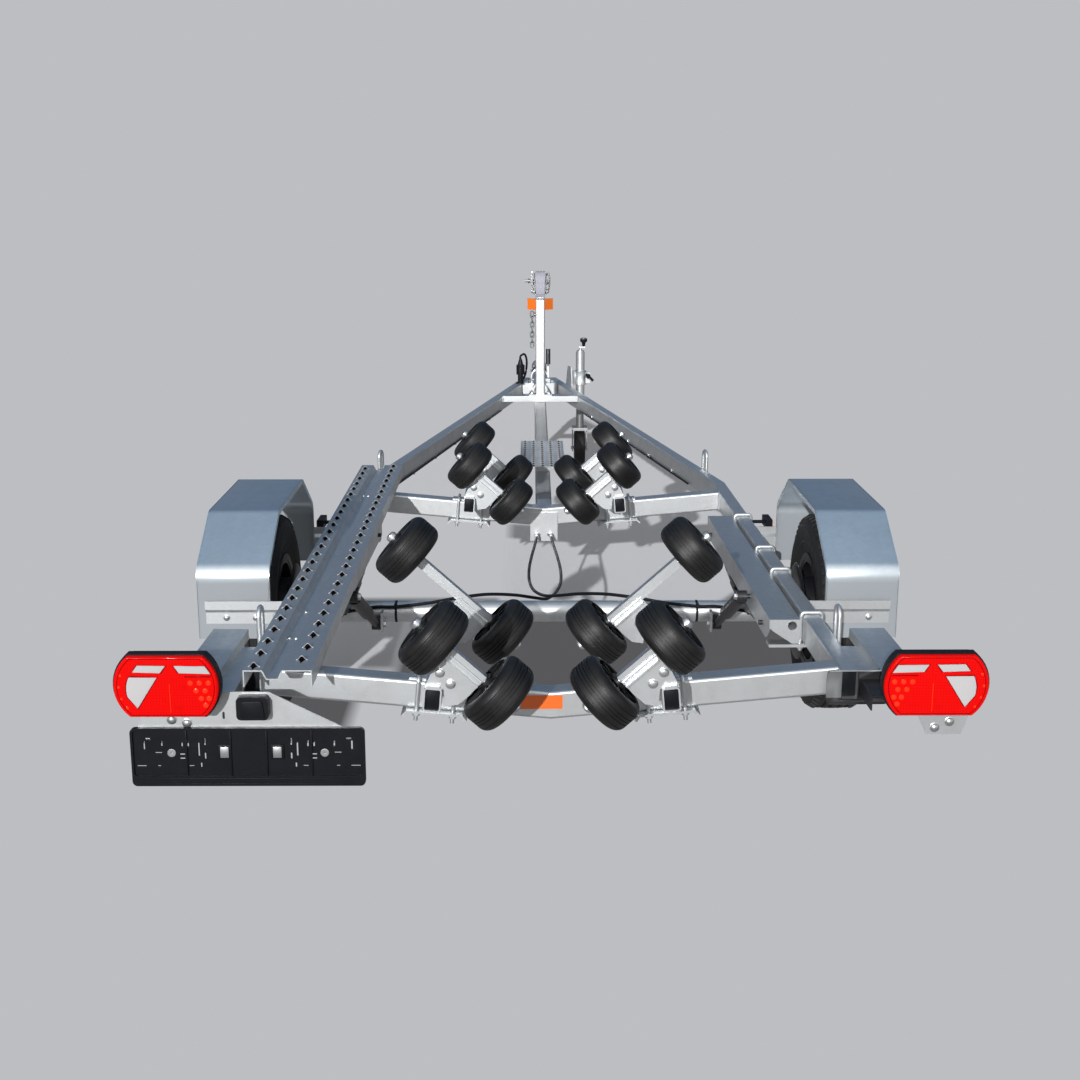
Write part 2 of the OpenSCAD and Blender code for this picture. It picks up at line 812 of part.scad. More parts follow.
module cradles_front() {
    color(ZINC) pair() cradle(cross_front, FRONT_BARS);
}

module cradle_clamps() {
    low = -cross_h - clamp_t - seat_gap;
    color(ZINC) pair() for (d = [-cross_rear, cross_front]) on_cross(d, cradle_x) {
        translate([-clamp_l / 2, -cross_d / 2 + ubolt_d, 0])
            cube([clamp_l, cross_d - 2 * ubolt_d, saddle_t]);
        translate([0, 0, low]) difference() {
            clamp_strap();
            for (sx = [-1, 1], sy = [-1, 1])
                translate([sx * clamp_leg, sy * (cross_d / 2 + ubolt_d / 2 + seat_gap), -1])
                    cylinder(h = clamp_t + 2, d = ubolt_d + hole_gap);
        }
        for (sx = [-1, 1]) translate([sx * clamp_leg, 0, saddle_t + seat_gap])
            u_bolt(cross_d + 2 * seat_gap, cross_h + clamp_t + 22, ubolt_d,
                   low - saddle_t - 2 * seat_gap);
    }
}

// Lower strap of a cradle clamp, with both ends bent down
module clamp_strap() {
    half = clamp_l / 2;
    run = 12;
    drop = 14;
    depth = cross_d + 4.4 * ubolt_d;
    translate([0, -depth / 2, 0]) plate_xz(depth)
        polygon([[-half - run, clamp_t - drop], [-half, clamp_t], [half, clamp_t],
                 [half + run, clamp_t - drop], [half + run - 5, clamp_t - drop - 3],
                 [half - 2, 0], [-half + 2, 0],
                 [-half - run + 5, clamp_t - drop - 3]]);
}

// Hull roller: round-shouldered tread with grooves, dished sides with ribs, and a hub
module roller() {
    hub_r = 22;
    hub_out = 3;
    dish_r = roller_d / 2 - 25;
    dish = 12;
    rib = 5;
    rotate([0, 90, 0]) {
        rotate_extrude() difference() {
            union() {
                translate([roller_d / 4, 0]) rounded(roller_d / 2, roller_w, 24);
                translate([0, -roller_w / 2 - hub_out]) square([hub_r, roller_w + 2 * hub_out]);
            }
            translate([-far, -far]) square([far + pin_d / 2 + run_gap, 2 * far]);
            for (s = [-1, 1]) translate([hub_r, s * roller_w / 2 - dish]) square([dish_r - hub_r, 2 * dish]);
            for (x = TREAD_GROOVES) translate([roller_d / 2, x]) square([5, 2.6], center = true);
        }
        for (a = [0 : 45 : 315], s = [-1, 1]) rotate([0, 0, a])
            translate([hub_r - 1, -rib / 2, s > 0 ? roller_w / 2 - dish - 1 : 2 - roller_w / 2])
                cube([dish_r - hub_r + 2, rib, dish - 1]);
    }
}

// Roller of a cradle: bar index, and 0 for the low or 1 for the high roller
module roller_at(bars, bar, high) {
    color(RUBBER) on_bar(bars[bar][0]) translate([high * bars[bar][1], 0, 0]) roller();
}

// Walkway

// Folded plank with a groove along its middle, two rows of punched grips, and notches for the U-bolts
module walkway() {
    z = rail_top_z + seat_gap;
    x = -rail_x(-rail_rear) + 4;
    t = 3;
    groove = [42, 10, 38];
    sink = 20;
    deck = walk_h - t;
    right = groove[0] + 2 * groove[1] + groove[2] - 10;
    rows = [[groove[0] / 2, 36], [(right + walk_w) / 2, 36 + grip_pitch / 2]];
    color(ZINC) ahead(-walk_rear, x, z) difference() {
        translate([0, walk_l, 0]) rotate([90, 0, 0]) linear_extrude(walk_l)
            polygon([[0, 0], [t, 0], [t, deck], [groove[0], deck], [groove[0] + groove[1], deck - sink],
                     [right - groove[1], deck - sink], [right, deck], [walk_w - t, deck], [walk_w - t, 0],
                     [walk_w, 0], [walk_w, walk_h], [right - 2, walk_h],
                     [right - 2 - groove[1], walk_h - sink], [groove[0] + groove[1] + 2, walk_h - sink],
                     [groove[0] + 2, walk_h], [0, walk_h]]);
        for (r = rows, y = [r[1] : grip_pitch : walk_l - 20])
            translate([r[0], y, deck - 1]) cylinder(h = t + 2, d = grip_d);
        for (d = CARRIER_BOLTS) translate([-1, walk_rear + d - ubolt_d, -1])
            cube([t + 2, 2 * ubolt_d, ubolt_d + 6]);
    }
}

// Winch post, bow stop and winch

module winch_post() {
    h = post_top_z - winch_bar_top - seat_gap;
    color(ZINC) ahead(post_ahead, 0, winch_bar_top + seat_gap) {
        translate([0, 0, h]) rotate([-90, 0, 0]) box_tube(h, post_s, post_s, 3.5);
        difference() {
            translate([-60, -bar_d / 2, 0]) cube([120, bar_d, 8]);
            translate([-post_s / 2 + 1, -post_s / 2 + 1, -1]) cube([post_s - 2, post_s - 2, 20]);
        }
    }
}

module bow_stop() {
    color(ORANGE) ahead(post_ahead, 0, 905) pair() linear_extrude(55)
        polygon([[post_s / 2 + seat_gap, -20], [post_s / 2 + 42, 20], [post_s / 2 + 42, 40],
                 [post_s / 2 + seat_gap, 14]]);
}

// Winch side plates, rounded at the top, with a foot that wraps the post's top
module winch_frame() {
    rear = -48;
    fore = crank_ahead - post_ahead + 26;
    h = drum_z - post_top_z - seat_gap;
    r = 44;
    color(ZINC) ahead(post_ahead, 0, post_top_z + seat_gap) {
        translate([-winch_gap / 2 - winch_t, rear, 0]) cube([winch_gap + 2 * winch_t, fore - rear, winch_t]);
        pair() difference() {
            translate([winch_gap / 2, 0, 0]) plate_yz(winch_t) {
                polygon([[rear, 0], [fore, 0], [fore, h], [0, h + r], [rear, h + 20]]);
                translate([0, h]) circle(r);
                translate([fore - 24, h]) circle(24);
            }
            translate([0, 0, h]) bar_x(100, 18);
            translate([0, crank_ahead - post_ahead, h]) bar_x(100, 16);
        }
    }
}

// Gear outline with straight-sided teeth; a tooth is centred on +X
module gear_outline(teeth, m) {
    pitch = m * teeth / 2;
    root = pitch - 1.1 * m;
    tip = pitch + 0.75 * m;
    step = 360 / teeth;
    circle(root + 0.2);
    for (i = [0 : teeth - 1]) rotate(i * step)
        polygon([[root - 1, -0.95 * m], [root, -0.95 * m], [pitch, -0.6 * m], [tip, -0.3 * m],
                 [tip, 0.3 * m], [pitch, 0.6 * m], [root, 0.95 * m], [root - 1, 0.95 * m]]);
}

module winch_drum() {
    side = winch_gap / 2 + winch_t;
    color(STEEL) ahead(post_ahead, 0, drum_z) {
        translate([gear_x, 0, 0]) bar_x(side - gear_x + 6, 18 - 2 * run_gap);
        translate([gear_x, 0, 0]) plate_yz(gear_t) gear_outline(gear_teeth, gear_m);
        translate([-winch_gap / 2 + 3, 0, 0]) bar_x(winch_gap - 6, 96);
    }
}

// Pinion shaft, with a collar and a square end that the loose crank handle slips on
module winch_crank() {
    side = winch_gap / 2 + winch_t;
    reach = 45;
    square_l = 28;
    square_s = 13;
    collar_d = 24;
    color(STEEL) ahead(crank_ahead, 0, drum_z) {
        translate([gear_x - reach + square_l / 2, 0, 0])
            bar_x(side + 6 - gear_x + reach - square_l / 2, 16 - 2 * run_gap);
        translate([gear_x, 0, 0]) rotate([180 / pinion_teeth, 0, 0]) plate_yz(gear_t)
            gear_outline(pinion_teeth, gear_m);
        translate([gear_x - reach, -square_s / 2, -square_s / 2]) cube([square_l, square_s, square_s]);
        translate([gear_x - reach + square_l, 0, 0]) bar_x(8, collar_d);
    }
}

// One link of chain, long axis along Z
module chain_link(inner, d) {
    r = d + 1;
    for (s = [-1, 1]) {
        translate([s * r, 0, -inner / 2 + r - d / 2]) cylinder(h = inner - 2 * r + d, d = d);
        translate([0, 0, s * (inner / 2 - r + d / 2)]) rotate([90, 0, 0]) rotate([0, 0, s > 0 ? 0 : 180])
            rotate_extrude(angle = 180) translate([r, 0]) circle(d = d);
    }
}

module bow_chain() {
    d = 7;
    inner = 26;
    color(STEEL) ahead(post_ahead, -post_s / 2 - 18, 880) {
        translate([18 - 8, 0, 0]) rotate([0, 90, 0]) cylinder(h = 8 - seat_gap, d = 20);
        for (i = [0 : 6]) translate([0, 0, -i * (inner - seat_gap)]) rotate([0, 0, 90 * (i % 2)])
            chain_link(inner, d);
    }
}

// Lashing eyes: bent rods on plates, on the outer faces of the rails
module lashing_eyes() {
    color(ZINC) pair() {
        on_rail(-eye_behind) lashing_eye();
        on_vee(eye_ahead) lashing_eye();
    }
}

module lashing_eye() {
    r = 22;
    d = 12;
    t = 6;
    rise = 79;
    translate([rail_w / 2 + seat_gap, 0, rail_top_z - 34]) {
        translate([0, -42, -22]) cube([t, 84, 44]);
        translate([t + d / 2 - 1, 0, 0]) {
            for (s = [-1, 1]) translate([0, s * r, -16]) cylinder(h = 16 + rise, d = d);
            translate([0, 0, rise]) rotate([90, 0, 90]) rotate_extrude(angle = 180)
                translate([r, 0]) circle(d = d);
        }
    }
}

// Lamps and number plate

// Outline of a rear lamp: straight above and below, bulged at both ends
module lamp_outline(grow) {
    end_r = 95 + grow;
    intersection() {
        square([lamp_w + 2 * grow, lamp_h + 2 * grow], center = true);
        union() {
            square([lamp_w - end_r, lamp_h + 2 * grow], center = true);
            for (s = [-1, 1]) translate([s * (lamp_w / 2 + grow - end_r), 0]) circle(end_r);
        }
    }
}

module lamp_housings() {
    lens = 12;
    rim = 22;
    color(BLACK) pair() ahead(-lamp_rear, lamp_x, lamp_z) {
        translate([0, lens + rim, 0]) plate_xz(lamp_depth - lens - rim) lamp_outline(-8);
        translate([0, lens, 0]) plate_xz(rim) lamp_outline(0);
    }
}

module lamp_lenses() {
    color(RED) pair() ahead(-lamp_rear, lamp_x, lamp_z) plate_xz(12 - seat_gap) lamp_outline(-4);
}

// Sheet brackets at the rear: a pressed arm from each rail to its lamp, on the right the rail's end plate
// and the lamp's lower tab, and on the left the sheet that holds the number plate
module lamp_arms() {
    t = 4;
    fold = 3;
    shelf = 49;
    channel = 89;
    drop = 22;
    arm_l = -lamp_back - 720;
    foot_l = -lamp_back - eye_behind - 50;
    low = rail_low_z + 10;
    outer = shelf + channel;
    foot_h = 58;
    skirt_h = 50;
    section = [[0, -foot_h], [0, -drop], [shelf, -drop], [shelf, 0], [outer, 0], [outer, -skirt_h],
               [outer - fold, -skirt_h], [outer - fold, -fold], [shelf + fold, -fold],
               [shelf + fold, -drop - fold], [fold, -drop - fold], [fold, -foot_h]];
    arm_x = rail_x(lamp_back) + rail_w / 2 + shelf + fold;
    tab = lamp_z - lamp_h / 2;
    color(ZINC) {
        pair() {
            on_rail(lamp_back) translate([rail_w / 2 + seat_gap, 0, rail_top_z]) difference() {
                translate([0, arm_l, 0]) rotate([90, 0, 0]) linear_extrude(arm_l) polygon(section);
                translate([-1, foot_l, -far / 2]) cube([shelf, far, far]);
            }
            ahead(lamp_back, arm_x, low) cube([lamp_x + 85 - arm_x, t, rail_top_z - low]);
        }
        ahead(lamp_back) plate_xz(t)
            polygon([[lamp_x + 78, tab - 63], [lamp_x + 98, low + 8], [lamp_x - 27, low + 8],
                     [lamp_x - 1, tab - 63]]);
        ahead(lamp_back) plate_xz(t)
            polygon([[-lamp_x - 95, plate_mid_z + 30], [-lamp_x + 388, plate_mid_z + 30],
                     [-lamp_x + 388, plate_mid_z + 64], [-lamp_x + 216, rail_top_z - 10],
                     [-lamp_x - 60, rail_top_z - 10]]);
        rail_end_plate();
    }
}

// Plate across the end of the right rail, with rounded lower corners and a window for the tube
module rail_end_plate() {
    t = 4;
    w = 150;
    h = 84;
    r = 14;
    shift = 20;
    window_r = 4;
    on_rail(-rail_rear) translate([shift, -seat_gap - t, rail_top_z - h / 2]) plate_xz(t) difference() {
        rounded(w, h, r);
        translate([-shift, h / 2 - rail_h / 2])
            rounded(rail_w - 2 * rail_wall, rail_h - 2 * rail_wall, window_r);
    }
}

// Number plate holder: shallow tray with a lip below and a pattern of fixing slots, with the plate lamp above
module plate_holder() {
    depth = 12;
    floor_t = 7;
    rim = 6;
    lip = 24;
    // Slots of one half: distance from the middle, height above the tray's middle, width, height
    slots = [[112, 8, 4, 34], [196, 22, 4, 14], [150, 20, 4, 12], [204, 0, 16, 4], [150, -4, 12, 5],
             [150, -14, 12, 5], [228, 34, 14, 4], [236, 18, 4, 22], [244, -32, 22, 4], [204, -32, 8, 4],
             [130, -32, 12, 4], [108, -30, 4, 12], [136, 22, 4, 16], [98, 26, 4, 18], [98, -8, 4, 16]];
    fix_x = 174;
    fix_d = 18;
    light = [72, 26, 54];
    light_x = 17;
    light_z = 121;
    color(BLACK) ahead(lamp_back - seat_gap, plate_mid_x, plate_mid_z) {
        translate([0, -depth, 0]) difference() {
            plate_xz(depth) rounded(plate_l, plate_h, 12);
            translate([0, -1, (lip - rim) / 2])
                plate_xz(depth - floor_t + 1) rounded(plate_l - 2 * rim, plate_h - rim - lip, 8);
            for (m = [-1, 1]) {
                for (s = slots) translate([m * s[0] - s[2] / 2, -1, (lip - rim + 2 * s[1] - s[3]) / 2])
                    cube([s[2], depth + 2, s[3]]);
                translate([m * fix_x, -1, (lip - rim) / 2]) bar_y(depth + 2, fix_d);
            }
        }
        translate([light_x, -light[1], light_z]) plate_xz(light[1]) rounded(light[0], light[2], 10);
    }
}

module side_markers() {
    color(AMBER) pair() on_rail(marker_ahead) translate([rail_w / 2 + seat_gap, 0, rail_top_z - 30]) {
        translate([0, -10, -4]) cube([60, 20, 8]);
        translate([58, -42, -16]) cube([22, 84, 32]);
    }
}

// Brake cables and plug

// Tube swept along points, with its ends closed
function unit(v) = v / norm(v);
function tangent(p, i) = unit(p[min(i + 1, len(p) - 1)] - p[max(i - 1, 0)]);
function ring(c, t, r, n) =
    let (u = unit(cross(t, abs(t[2]) < 0.9 ? [0, 0, 1] : [1, 0, 0])), w = cross(u, t))
    [for (k = [0 : n - 1]) c + r * (cos(360 * k / n) * u + sin(360 * k / n) * w)];

// Smooth curve through hand-chosen points, with s steps between two of them
function spline_at(a, b, c, d, t) =
    0.5 * (2 * b + (c - a) * t + (2 * a - 5 * b + 4 * c - d) * t * t + (3 * b - a - 3 * c + d) * t * t * t);
function smooth(p, s) = concat(
    [for (i = [0 : len(p) - 2], k = [0 : s - 1])
        spline_at(p[max(i - 1, 0)], p[i], p[i + 1], p[min(i + 2, len(p) - 1)], k / s)],
    [p[len(p) - 1]]);

module cord(points, d, n = 8) {
    rows = len(points);
    verts = [for (i = [0 : rows - 1]) each ring(points[i], tangent(points, i), d / 2, n)];
    sides = [for (i = [0 : rows - 2], k = [0 : n - 1])
        [i * n + k, i * n + (k + 1) % n, (i + 1) * n + (k + 1) % n, (i + 1) * n + k]];
    caps = [[for (k = [n - 1 : -1 : 0]) k], [for (k = [0 : n - 1]) (rows - 1) * n + k]];
    polyhedron(verts, concat(sides, caps), convexity = 6);
}

// Two brake cables: from the keel plate down in a loose loop, then along the axle to the brakes
module brake_cables() {
    y0 = cross_front - cross_d / 2 - 60;
    color(BLACK) ahead(0) {
        cord(smooth([[-cable_x, y0 + 58, cable_z], [-cable_x, y0, cable_z - 4], [6, 640, 252], [30, 320, 258],
                     [60, 110, 296], [140, 40, 312], [320, 37, 308], [460, 37, 306], [600, 37.5, 300],
                     [700, 39, 296], [drum_in - 8 - seat_gap, 44, 296]], 4), cable_d);
        left() cord(smooth([[-cable_x, y0 + 58, cable_z], [-cable_x, y0, cable_z - 4], [4, 640, 236],
                     [30, 320, 240], [60, 110, 288], [140, 40, 312], [320, 37, 308], [460, 37, 306],
                     [600, 37.5, 300], [700, 39, 296], [drum_in - 8 - seat_gap, 44, 296]], 4), cable_d);
    }
}

// Towing plug parked in a holder on the left rail, and its lead down to the rail
module connector_plug() {
    x = -rail_x(plug_ahead) + rail_w / 2 - 6;
    color(BLACK) ahead(plug_ahead, x, rail_top_z + seat_gap) {
        translate([-26, -22, 0]) cube([44, 44, 5]);
        translate([0, 0, 4]) cylinder(h = 48, d = 30);
        translate([0, 0, 50]) cylinder(h = 52, d = 46);
        translate([0, 0, 100]) cylinder(h = 34, d1 = 34, d2 = 16);
        cord(smooth([[0, 0, 132], [0, 4, 150], [22, 24, 158], [34, 56, 120], [30, 84, 56],
                     [18, 112, 16], [13, 150, 6.5]], 5), 12);
    }
}

// Jockey wheel

jockey_low_z = 372;
jockey_high_z = 640;
leg_d = jockey_bore - 2 * run_gap;
leg_low_z = castor_d + 22;
leg_high_z = jockey_high_z - 120;
stem_d = 20;

module jockey_at() {
    ahead(jockey_ahead, jockey_x) children();
}

// Plate on the right rail with the split ring that holds the jockey tube above the rail's top
module jockey_clamp() {
    ring_h = 74;
    ring_low = rail_top_z + 2;
    plate_low = rail_low_z + 6;
    plate_high = ring_low + ring_h + 26;
    plate_half = 70;
    t = 6;
    gap = (jockey_x - rail_x(jockey_ahead)) * cos(vee_angle) - rail_w / 2 - seat_gap;
    color(ZINC) difference() {
        union() {
            jockey_at() translate([0, 0, ring_low]) cylinder(h = ring_h, d = jockey_d + 20);
            jockey_at() rotate([0, 0, vee_angle]) translate([-gap, 0, 0]) {
                plate_yz(t)
                    polygon([[-plate_half, plate_low], [plate_half, plate_low], [plate_half, rail_top_z],
                             [24, plate_high], [-plate_half + 20, plate_high],
                             [-plate_half, rail_top_z + 40]]);
                translate([0, -12, ring_low]) cube([gap, 24, ring_h]);
            }
            jockey_at() translate([0, -16, ring_low + 8]) cube([54, 32, ring_h - 16]);
        }
        jockey_at() translate([0, 0, ring_low - 1]) cylinder(h = ring_h + 2, d = jockey_d + 2 * seat_gap);
        jockey_at() translate([jockey_d / 2 - 4, -3, ring_low - 1]) cube([60, 6, ring_h + 2]);
    }
}

// Outer jockey tube with its cap, the folded crank and its knob
module jockey_tube() {
    cap_d = 40;
    knob_x = 18;
    color(ZINC) jockey_at() {
        difference() {
            translate([0, 0, jockey_low_z]) cylinder(h = jockey_high_z - jockey_low_z, d = jockey_d);
            translate([0, 0, jockey_low_z - 1])
                cylinder(h = jockey_high_z - jockey_low_z - 20, d = jockey_bore);
        }
        translate([0, 0, jockey_high_z - 1]) cylinder(h = 9, d = cap_d);
        translate([0, 0, jockey_high_z]) cylinder(h = 30, d = 16);
        translate([-8, -8, jockey_high_z + 22]) cube([knob_x + 16, 16, 9]);
        translate([knob_x, 0, jockey_high_z + 30]) cylinder(h = 30, d = 14);
        translate([knob_x, 0, jockey_high_z + 56]) cylinder(h = 18, d = 36);
    }
}

module jockey_leg() {
    color(STEEL) jockey_at() difference() {
        translate([0, 0, leg_low_z]) cylinder(h = leg_high_z - leg_low_z, d = leg_d);
        translate([0, 0, leg_low_z - 1]) cylinder(h = 70, d = stem_d + 2 * run_gap);
    }
}

module jockey_fork() {
    cheek = castor_w / 2 + 6;
    color(ZINC) jockey_at() {
        translate([0, 0, leg_low_z - seat_gap - 8]) cylinder(h = 60, d = stem_d);
        translate([-cheek - 6, -24, castor_d + 6])
            cube([2 * cheek + 12, castor_trail + 48, 16 - seat_gap]);
        for (s = [-1, 1]) translate([s * (cheek + 3) - 3, castor_trail - 24, castor_d / 2 - 18])
            cube([6, 48, castor_d / 2 + 26]);
        translate([-cheek - 12, castor_trail, castor_d / 2]) bar_x(2 * cheek + 24, pin_d);
    }
}

module jockey_wheel() {
    color(RUBBER) jockey_at() translate([0, castor_trail, castor_d / 2]) rotate([0, 90, 0])
        difference() {
            union() {
                rotate_extrude() intersection() {
                    translate([castor_d / 4, 0]) rounded(castor_d / 2, castor_w, 16);
                    translate([0, -far]) square([far, 2 * far]);
                }
                cylinder(h = castor_w, d = 60, center = true);
            }
            cylinder(h = far, d = pin_d + 2 * run_gap, center = true);
        }
}

rail_left();
rail_right();
crossmember_rear();
crossmember_front();
keel_beam();
winch_crossbar();
overrun_housing();
coupling_head();
gaiter();
handbrake_lever();
axle_beam();
spring_carriers();
leaf_springs();
shock_absorbers();
mudguards();
mudguard_brackets();
walkway();
step_plate();
winch_post();
bow_stop();
winch_frame();
winch_drum();
winch_crank();
bow_chain();
lashing_eyes();
cradle_clamps();
cradles_rear();
cradles_front();
left() roller_at(REAR_BARS, 0, 0);  // roller_rl1
left() roller_at(REAR_BARS, 0, 1);  // roller_rl2
left() roller_at(REAR_BARS, 1, 0);  // roller_rl3
left() roller_at(REAR_BARS, 1, 1);  // roller_rl4
roller_at(REAR_BARS, 0, 0);  // roller_rr1
roller_at(REAR_BARS, 0, 1);  // roller_rr2
roller_at(REAR_BARS, 1, 0);  // roller_rr3
roller_at(REAR_BARS, 1, 1);  // roller_rr4
left() roller_at(FRONT_BARS, 0, 0);  // roller_fl1
left() roller_at(FRONT_BARS, 0, 1);  // roller_fl2
left() roller_at(FRONT_BARS, 1, 0);  // roller_fl3
left() roller_at(FRONT_BARS, 1, 1);  // roller_fl4
roller_at(FRONT_BARS, 0, 0);  // roller_fr1
roller_at(FRONT_BARS, 0, 1);  // roller_fr2
roller_at(FRONT_BARS, 1, 0);  // roller_fr3
roller_at(FRONT_BARS, 1, 1);  // roller_fr4
tyre_left();
tyre_right();
rim_left();
rim_right();
lamp_housings();
lamp_lenses();
lamp_arms();
plate_holder();
side_markers();
brake_cables();
connector_plug();
jockey_clamp();
jockey_tube();
jockey_leg();
jockey_fork();
jockey_wheel();
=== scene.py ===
"""Visual model of a galvanised multi-roller boat trailer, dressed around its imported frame.

Lengths are in metres. +Y points to the coupling, +X to the right seen from behind, +Z up.
Distances called "ahead" are measured along +Y from the axle.
"""

import json
import logging
import math
from dataclasses import dataclass, field
from enum import Enum
from typing import Mapping, Sequence

import bmesh
import bpy
from mathutils import Matrix, Vector


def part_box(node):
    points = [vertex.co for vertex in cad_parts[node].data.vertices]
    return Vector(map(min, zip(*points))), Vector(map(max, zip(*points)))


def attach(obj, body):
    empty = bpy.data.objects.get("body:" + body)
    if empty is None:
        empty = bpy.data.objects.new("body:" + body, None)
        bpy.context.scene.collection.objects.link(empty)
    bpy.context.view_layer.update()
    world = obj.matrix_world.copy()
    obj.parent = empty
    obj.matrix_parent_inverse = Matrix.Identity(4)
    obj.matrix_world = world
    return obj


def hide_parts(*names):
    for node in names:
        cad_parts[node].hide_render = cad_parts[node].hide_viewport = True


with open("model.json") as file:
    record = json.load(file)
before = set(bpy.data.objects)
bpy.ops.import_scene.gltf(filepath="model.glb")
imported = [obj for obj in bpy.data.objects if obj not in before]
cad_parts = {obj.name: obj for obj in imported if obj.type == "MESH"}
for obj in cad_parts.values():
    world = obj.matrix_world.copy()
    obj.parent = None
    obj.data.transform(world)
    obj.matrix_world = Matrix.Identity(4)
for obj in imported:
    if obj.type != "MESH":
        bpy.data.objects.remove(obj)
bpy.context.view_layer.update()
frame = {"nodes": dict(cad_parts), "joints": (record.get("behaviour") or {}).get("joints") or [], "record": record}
LOG = logging.getLogger("trailer")
CHASSIS = "chassis"
MM = 0.001

Socket = bpy.types.NodeSocket
Pair = tuple[float, float]
Triple = tuple[float, float, float]
Quad = tuple[float, float, float, float]
Colour = Triple
Corner = tuple[Pair, float, float]


class Slot(Enum):
    """Material slots of the record."""

    GALVANISED = "galvanised_steel"
    ZINC = "zinc_plated"
    WHEEL = "wheel_silver"
    RUBBER = "black_rubber"
    TYRE = "tyre_rubber"
    BLACK_STEEL = "black_steel"
    PLASTIC = "black_plastic"
    RED = "red_lens"
    ORANGE = "orange_plastic"
    AMBER = "amber_lens"


class Side(Enum):
    """Sides of the trailer seen from behind; the value is the sign of X."""

    LEFT = -1
    RIGHT = 1


# Node graphs


class Graph:
    """Short-hand for building one node tree."""

    def __init__(self, tree: bpy.types.NodeTree) -> None:
        """Keeps the tree that nodes are added to."""
        self.tree = tree

    def add(self, kind: str, inputs: Mapping[str | int, object] | None = None, **settings: object) -> bpy.types.Node:
        """Adds a node.

        Args:
            kind: Type name of the node.
            inputs: Sockets to link, or constants to set, by input name or number.
            settings: Attributes of the node.

        Returns:
            The new node.
        """
        node = self.tree.nodes.new(kind)
        for key, value in settings.items():
            setattr(node, key, value)
        self.feed(node, inputs or {})
        return node

    def feed(self, node: bpy.types.Node, inputs: Mapping[str | int, object]) -> None:
        """Links sockets to a node's inputs, or sets constants on them.

        Args:
            node: The node to feed.
            inputs: Sockets or constants by input name or number.
        """
        for key, value in inputs.items():
            if isinstance(value, Socket):
                self.tree.links.new(value, node.inputs[key])
            else:
                node.inputs[key].default_value = value

    def mix(self, factor: Socket | float, low: object, high: object) -> Socket:
        """Mixes two colours.

        Args:
            factor: 0 for low, 1 for high.
            low: Colour or socket.
            high: Colour or socket.

        Returns:
            The mixed colour.
        """
        ends = [value if isinstance(value, Socket) else (*value, 1.0) for value in (low, high)]
        node = self.add("ShaderNodeMix", {0: factor, 6: ends[0], 7: ends[1]}, data_type="RGBA")
        return node.outputs[2]

    def span(self, value: Socket, low: float, high: float, start: float = 0.0, end: float = 1.0) -> Socket:
        """Maps a value from start..end to low..high, clamped."""
        inputs = {"Value": value, "From Min": start, "From Max": end, "To Min": low, "To Max": high}
        return self.add("ShaderNodeMapRange", inputs).outputs[0]

    def math(self, operation: str, first: Socket | float, second: Socket | float = 0.0) -> Socket:
        """One step of arithmetic, such as MULTIPLY, on two values."""
        return self.add("ShaderNodeMath", {0: first, 1: second}, operation=operation).outputs[0]


def blank_graph(owner: bpy.types.Material | bpy.types.World) -> Graph:
    """An empty node graph.

    Args:
        owner: The material or world that it belongs to.

    Returns:
        The graph.
    """
    owner.use_nodes = True
    owner.node_tree.nodes.clear()
    return Graph(owner.node_tree)


class GroupKind(Enum):
    """Shader groups that several finishes share."""

    SPANGLE = "zinc_spangle"
    GRIME = "road_grime"
    GRAIN = "moulded_grain"


def new_group(kind: GroupKind, inputs: Mapping[str, float], outputs: Sequence[str]) -> tuple[Graph, dict, object]:
    """Starts a shader group with a Vector input.

    Args:
        kind: Which group it is.
        inputs: Names and defaults of its number inputs.
        outputs: Names of its number outputs.

    Returns:
        The group's graph, its input sockets by name and its output node.
    """
    tree = bpy.data.node_groups.new(kind.value, "ShaderNodeTree")
    tree.interface.new_socket("Vector", in_out="INPUT", socket_type="NodeSocketVector")
    for name, default in inputs.items():
        tree.interface.new_socket(name, in_out="INPUT", socket_type="NodeSocketFloat").default_value = default
    for name in outputs:
        tree.interface.new_socket(name, in_out="OUTPUT", socket_type="NodeSocketFloat")
    graph = Graph(tree)
    entry = graph.add("NodeGroupInput")
    leave = graph.add("NodeGroupOutput")
    return graph, {socket.name: socket for socket in entry.outputs}, leave


def spangle_group() -> bpy.types.NodeTree:
    """Crystals, runs and patches of a hot-dip zinc skin.

    Returns:
        The group, with outputs Tone and Height.
    """
    graph, given, leave = new_group(GroupKind.SPANGLE, {"Cells": 90.0, "Patches": 9.0}, ("Tone", "Height"))
    cells = graph.add("ShaderNodeTexVoronoi", {"Vector": given["Vector"], "Scale": given["Cells"]})
    tint = graph.add("ShaderNodeSeparateColor", {0: cells.outputs["Color"]}).outputs[0]
    wide = graph.add("ShaderNodeTexNoise", {"Vector": given["Vector"], "Scale": given["Patches"], "Detail": 6.0,
                                            "Roughness": 0.62, "Distortion": 0.6})
    runs = graph.add("ShaderNodeMapping", {"Vector": given["Vector"], "Scale": (34.0, 6.0, 9.0)})
    streaks = graph.add("ShaderNodeTexNoise", {"Vector": runs.outputs[0], "Scale": 1.0, "Detail": 4.0})
    crystal = graph.math("MULTIPLY", tint, 0.16)
    cloud = graph.math("MULTIPLY", wide.outputs[0], 0.8)
    streak = graph.math("MULTIPLY", streaks.outputs[0], 0.42)
    total = graph.math("ADD", graph.math("ADD", crystal, cloud), streak)
    fine = graph.add("ShaderNodeTexNoise", {"Vector": given["Vector"], "Scale": 420.0, "Detail": 3.0})
    dross = graph.math("MULTIPLY", fine.outputs[0], 0.35)
    graph.feed(leave, {"Tone": graph.span(total, 0.0, 1.0, 0.36, 1.02),
                       "Height": graph.math("ADD", dross, graph.math("MULTIPLY", wide.outputs[0], 0.65))})
    return graph.tree


